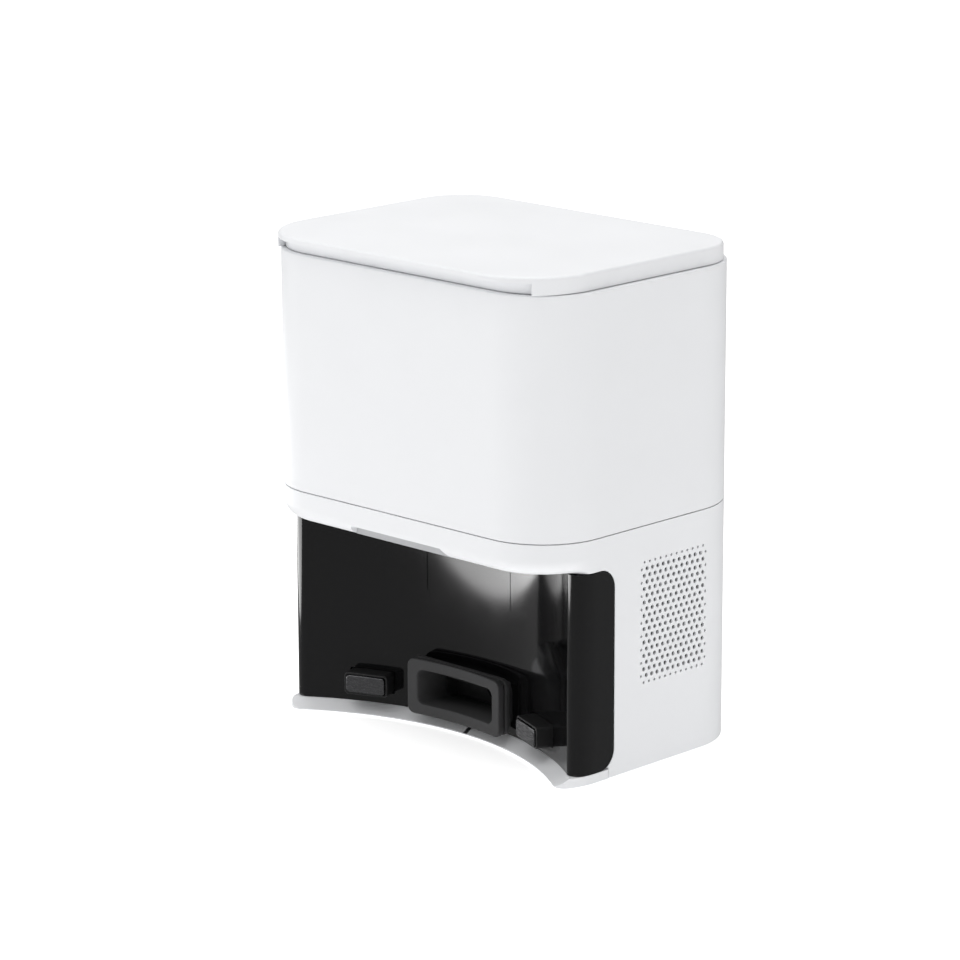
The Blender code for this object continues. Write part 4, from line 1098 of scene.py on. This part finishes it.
def make_screws_and_feet():
    """Base screws and ribbed rubber feet."""
    low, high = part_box("screw_front_right")
    head_height = 0.6 * MM
    front, back = seats("screw", low.z + head_height / 2)
    values = {"Front": front, "Back": back, "Head": (high.x - low.x) / 2, "Height": head_height,
              "Thread": 1.3 * MM, "Length": high.z - low.z - head_height / 2,
              "Finish": FINISH["steel"]}
    screws = grown("base_screws", screw_tree(), values)
    names = [f"screw_{end}_{side}" for end in ("front", "back") for side in ("left", "right")]
    finished(screws, "steel", "dock", *names)
    low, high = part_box("foot_front_right")
    rib = 0.3 * MM
    height = high.z - low.z - rib
    front, back = seats("foot", low.z + rib + height / 2)
    values = {"Front": front, "Back": back, "Radius": (high.x - low.x) / 2, "Height": height,
              "Rib": rib, "Finish": FINISH["dark_rubber"]}
    feet = grown("rubber_feet", foot_tree(), values)
    names = [f"foot_{end}_{side}" for end in ("front", "back") for side in ("left", "right")]
    finished(feet, "dark_rubber", "dock", *names)


# ---------------------------------------------------------------- dust bag
def bag_blank():
    """The flat-packed bag's closed form before it is blown up, with a gusset down each side."""
    clear = 5 * MM
    low = BAG[0] + Vector((clear, clear, clear))
    high = BAG[1] - Vector((clear, clear, clear))
    fold = 12 * MM
    middle_z = (low.z + high.z) / 2
    corner = 14 * MM
    rings = []
    for y in (low.y, high.y):
        ring = arc(high.x - corner, low.z + corner, corner, -QUARTER, 0, 6)
        ring += [(high.x - fold, middle_z)]
        ring += arc(high.x - corner, high.z - corner, corner, 0, QUARTER, 6)
        ring += arc(low.x + corner, high.z - corner, corner, QUARTER, math.pi, 6)
        ring += [(low.x + fold, middle_z)]
        ring += arc(low.x + corner, low.z + corner, corner, math.pi, 3 * QUARTER, 6)
        rings.append([(x, y, z) for x, z in ring])
    return loft("fleece_bag", rings)


def make_fleece_bag():
    """Dust bag: a fleece bag blown up by air, inside its solid's space."""
    bag = bag_blank()
    remesh = bag.modifiers.new("even_mesh", "REMESH")
    remesh.mode = "VOXEL"
    remesh.voxel_size = 5 * MM
    frames = 20
    applied(bag)
    start = [point.co.copy() for point in bag.data.vertices]
    scene = bpy.context.scene
    cloth = bag.modifiers.new("air", "CLOTH")
    cloth.settings.use_pressure = True
    cloth.settings.uniform_pressure_force = 4.0
    cloth.settings.quality = 6
    cloth.settings.effector_weights.gravity = 0.0
    for number in range(1, frames + 1):
        scene.frame_set(number)
    applied(bag)
    scene.frame_set(1)
    travel = 4.2 * MM
    for point, origin in zip(bag.data.vertices, start):
        moved = point.co - origin
        if moved.length > travel:
            point.co = origin + moved.normalized() * travel
    smooth = bag.modifiers.new("soften", "SUBSURF")
    smooth.levels = 1
    smooth.render_levels = 1
    applied(bag)
    finished(bag, "bag_fleece", "dock", "dust_bag")


# ---------------------------------------------------------------- carried-over nodes and studio
CARRIED = {
    "black_matt_abs": ("bay_ceiling", "duct_mouth", "duct_elbow", "duct_riser", "bag_holder",
                       "fan_shroud", "fan_cover", "exhaust_frame", "power_inlet"),
    "grey_abs": ("bag_chamber", "filter_frame", "mid_deck", "impeller"),
    "dark_rubber": ("lid_seal", "duct_seal", "tub_gasket", "fan_gasket", "fan_mount", "motor_cradle"),
    "steel": ("hinge_pin_left", "hinge_pin_right", "hinge_bracket_left", "hinge_bracket_right",
              "lid_magnet", "motor_can", "motor_shaft", "contact_spring_left",
              "contact_spring_right"),
    "bag_card": ("bag_collar",),
    "filter_foam": ("inlet_filter", "exhaust_filter"),
    "circuit_board": ("status_board", "beacon_board", "power_board", "control_board", "lid_sensor"),
}


def paint_nodes():
    """Give each CAD part that stays in view its finish."""
    for slot, names in CARRIED.items():
        for name in names:
            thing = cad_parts[name]
            if not thing.material_slots:
                thing.data.materials.append(None)
            for place in thing.material_slots:
                place.link = "OBJECT"
                place.material = FINISH[slot]
    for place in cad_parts["duct_mouth"].material_slots:
        place.material = FINISH["duct_abs"]


def panel(name, size, place, aim, radiance):
    """A flat softbox of this radiance, facing a point."""
    light = bpy.data.lights.new(name, "AREA")
    light.shape = "RECTANGLE"
    light.size = size[0]
    light.size_y = size[1]
    light.energy = radiance * size[0] * size[1] * math.pi
    thing = bpy.data.objects.new(name, light)
    thing.location = place
    thing.rotation_euler = (Vector(aim) - Vector(place)).to_track_quat("-Z", "Y").to_euler()
    thing.visible_camera = False
    bpy.context.scene.collection.objects.link(thing)
    return thing


def shaded_card(name, size, place, aim, radiance):
    """A softbox whose light fades smoothly from one side to the other."""
    thing = panel(name, size, place, aim, radiance)
    thing.data.use_nodes = True
    tree = thing.data.node_tree
    tree.nodes.clear()
    across = node(tree, "ShaderNodeSeparateXYZ",
                  {"Vector": (node(tree, "ShaderNodeNewGeometry"), "Parametric")})
    fade_power = 3.0
    fade_gain = 5.8
    along = node(tree, "ShaderNodeMath", {0: 1.0, 1: (across, "Y")}, operation="SUBTRACT")
    steep = node(tree, "ShaderNodeMath", {0: (along, "Value"), 1: fade_power}, operation="POWER")
    bright = node(tree, "ShaderNodeMath", {0: (steep, "Value"), 1: fade_gain}, operation="MULTIPLY",
                  use_clamp=True)
    glow = node(tree, "ShaderNodeEmission", {"Strength": (bright, "Value")})
    node(tree, "ShaderNodeOutputLight", {"Surface": (glow, "Emission")})
    return thing


def make_studio():
    """Camera, pale floor and soft panels round the dock."""
    scene = bpy.context.scene
    studio = scene.dock_studio
    scene.view_settings.view_transform = "Standard"
    target = Vector(studio.target)
    level = math.cos(studio.elevation)
    back = Vector((level * math.sin(studio.azimuth), -level * math.cos(studio.azimuth),
                   math.sin(studio.elevation)))
    camera_data = bpy.data.cameras.new("camera")
    camera_data.lens = studio.lens
    camera_data.shift_x = studio.shift[0]
    camera_data.shift_y = studio.shift[1]
    camera = bpy.data.objects.new("camera", camera_data)
    camera.location = target + back * studio.distance
    camera.rotation_euler = (-back).to_track_quat("-Z", "Y").to_euler()
    scene.collection.objects.link(camera)
    scene.camera = camera

    world = bpy.data.worlds.new("grey_room")
    world.use_nodes = True
    tree = world.node_tree
    tree.nodes.clear()
    sky = node(tree, "ShaderNodeBackground", {"Color": (1.0, 1.0, 1.0, 1.0), "Strength": studio.sky})
    node(tree, "ShaderNodeOutputWorld", {"Surface": (sky, "Background")})
    scene.world = world

    # Matt painted floor: pale and even, with a little light of its own so that shadows stay soft.
    material, tree, spot = new_material("matt_floor_paint")
    speck_mm = 40
    speck = node(tree, "ShaderNodeTexNoise", {"Vector": spot, "Scale": per_mm(speck_mm)})
    tint = tuple(studio.floor)
    surfaced(tree, tint, 0.01, (speck, "Fac"), 0.9,
             extras={"Emission Color": (*tint, 1.0), "Emission Strength": studio.floor_glow})
    reach = 30.0
    floor = box_solid("studio_floor", (-reach, -reach, -0.05), (reach, reach, 0.0))
    floor.data.materials.append(material)
    floor.visible_glossy = False

    panel("key_panel", (1.1, 1.3), (-1.15, -0.72, 0.7), (0.0, 0.0, 0.12), studio.key)
    panel("fill_panel", (1.2, 1.6), (1.9, 0.15, 0.85), (0.0, 0.0, 0.14), studio.fill)
    panel("top_panel", (2.4, 2.4), (0.0, -0.2, 2.0), (0.0, 0.0, 0.1), studio.top)
    panel("far_panel", (4.0, 4.0), (-2.4, 2.5, 1.6), (-2.4, 2.5, 0.0), studio.far)
    # The card stands below the floor's level, where only the polished bay wall reflects it.
    card_turn = math.radians(60)
    card_away = 1.0
    card_height = 0.2
    card_middle = -0.105
    card_place = (-card_away * math.sin(card_turn), -card_away * math.cos(card_turn), card_middle)
    shaded_card("reflected_card", (2.4, card_height), card_place, (0.0, 0.0, card_middle), studio.card)


# ---------------------------------------------------------------- operators
class DOCK_OT_finishes(bpy.types.Operator):
    """Make every finish and give it to the CAD parts"""
    bl_idname = "dock.finishes"
    bl_label = "Finishes"

    def execute(self, context):
        FINISH.update(make_finishes())
        paint_nodes()
        return {"FINISHED"}


class DOCK_OT_casings(bpy.types.Operator):
    """Build the upper and lower casings"""
    bl_idname = "dock.casings"
    bl_label = "Casings"

    def execute(self, context):
        make_upper_shell()
        make_lower_shell()
        return {"FINISHED"}


class DOCK_OT_lid(bpy.types.Operator):
    """Build the lid"""
    bl_idname = "dock.lid"
    bl_label = "Lid"

    def execute(self, context):
        make_lid_shell()
        return {"FINISHED"}


class DOCK_OT_bay(bpy.types.Operator):
    """Build the base plate, the bay's wall and its infrared window"""
    bl_idname = "dock.bay"
    bl_label = "Bay"

    def execute(self, context):
        make_base_plate()
        make_bay_wall()
        return {"FINISHED"}


class DOCK_OT_port(bpy.types.Operator):
    """Build the rubber suction port"""
    bl_idname = "dock.port"
    bl_label = "Suction port"

    def execute(self, context):
        make_suction_port()
        return {"FINISHED"}


class DOCK_OT_contacts(bpy.types.Operator):
    """Build the charging contacts and the status light's lens"""
    bl_idname = "dock.contacts"
    bl_label = "Contacts and light"

    def execute(self, context):
        make_contacts()
        make_light_lens()
        return {"FINISHED"}


class DOCK_OT_fixings(bpy.types.Operator):
    """Build the base screws and the rubber feet"""
    bl_idname = "dock.fixings"
    bl_label = "Screws and feet"

    def execute(self, context):
        make_screws_and_feet()
        return {"FINISHED"}


class DOCK_OT_bag(bpy.types.Operator):
    """Build the fleece dust bag"""
    bl_idname = "dock.bag"
    bl_label = "Dust bag"

    def execute(self, context):
        make_fleece_bag()
        return {"FINISHED"}


class DOCK_OT_studio(bpy.types.Operator):
    """Set up the floor, the lights and the camera"""
    bl_idname = "dock.studio"
    bl_label = "Studio"

    def execute(self, context):
        make_studio()
        return {"FINISHED"}


STEPS = (DOCK_OT_finishes, DOCK_OT_casings, DOCK_OT_lid, DOCK_OT_bay, DOCK_OT_port, DOCK_OT_contacts,
         DOCK_OT_fixings, DOCK_OT_bag, DOCK_OT_studio)


class DOCK_PT_panel(bpy.types.Panel):
    """The dock's building steps, in the 3D view's sidebar"""
    bl_idname = "DOCK_PT_panel"
    bl_label = "Auto-empty dock"
    bl_space_type = "VIEW_3D"
    bl_region_type = "UI"
    bl_category = "Dock"

    def draw(self, context):
        for step in STEPS:
            self.layout.operator(step.bl_idname)


GROUPS = {"dock_casing": CasingSizes, "dock_bay": BaySizes, "dock_vent": VentSizes,
          "dock_finishes": Finishes, "dock_studio": StudioSettings}


def register():
    """Register the classes and hang the settings on the scene."""
    for kind in (*GROUPS.values(), *STEPS, DOCK_PT_panel):
        bpy.utils.register_class(kind)
    for name, kind in GROUPS.items():
        setattr(bpy.types.Scene, name, bpy.props.PointerProperty(type=kind))


def unregister():
    """Take the settings and the classes away again."""
    for name in GROUPS:
        delattr(bpy.types.Scene, name)
    for kind in (DOCK_PT_panel, *reversed(STEPS), *reversed(GROUPS.values())):
        bpy.utils.unregister_class(kind)


def main():
    """Build every piece in order."""
    register()
    for step in STEPS:
        group, name = step.bl_idname.split(".")
        getattr(getattr(bpy.ops, group), name)()


if __name__ == "__main__":
    main()
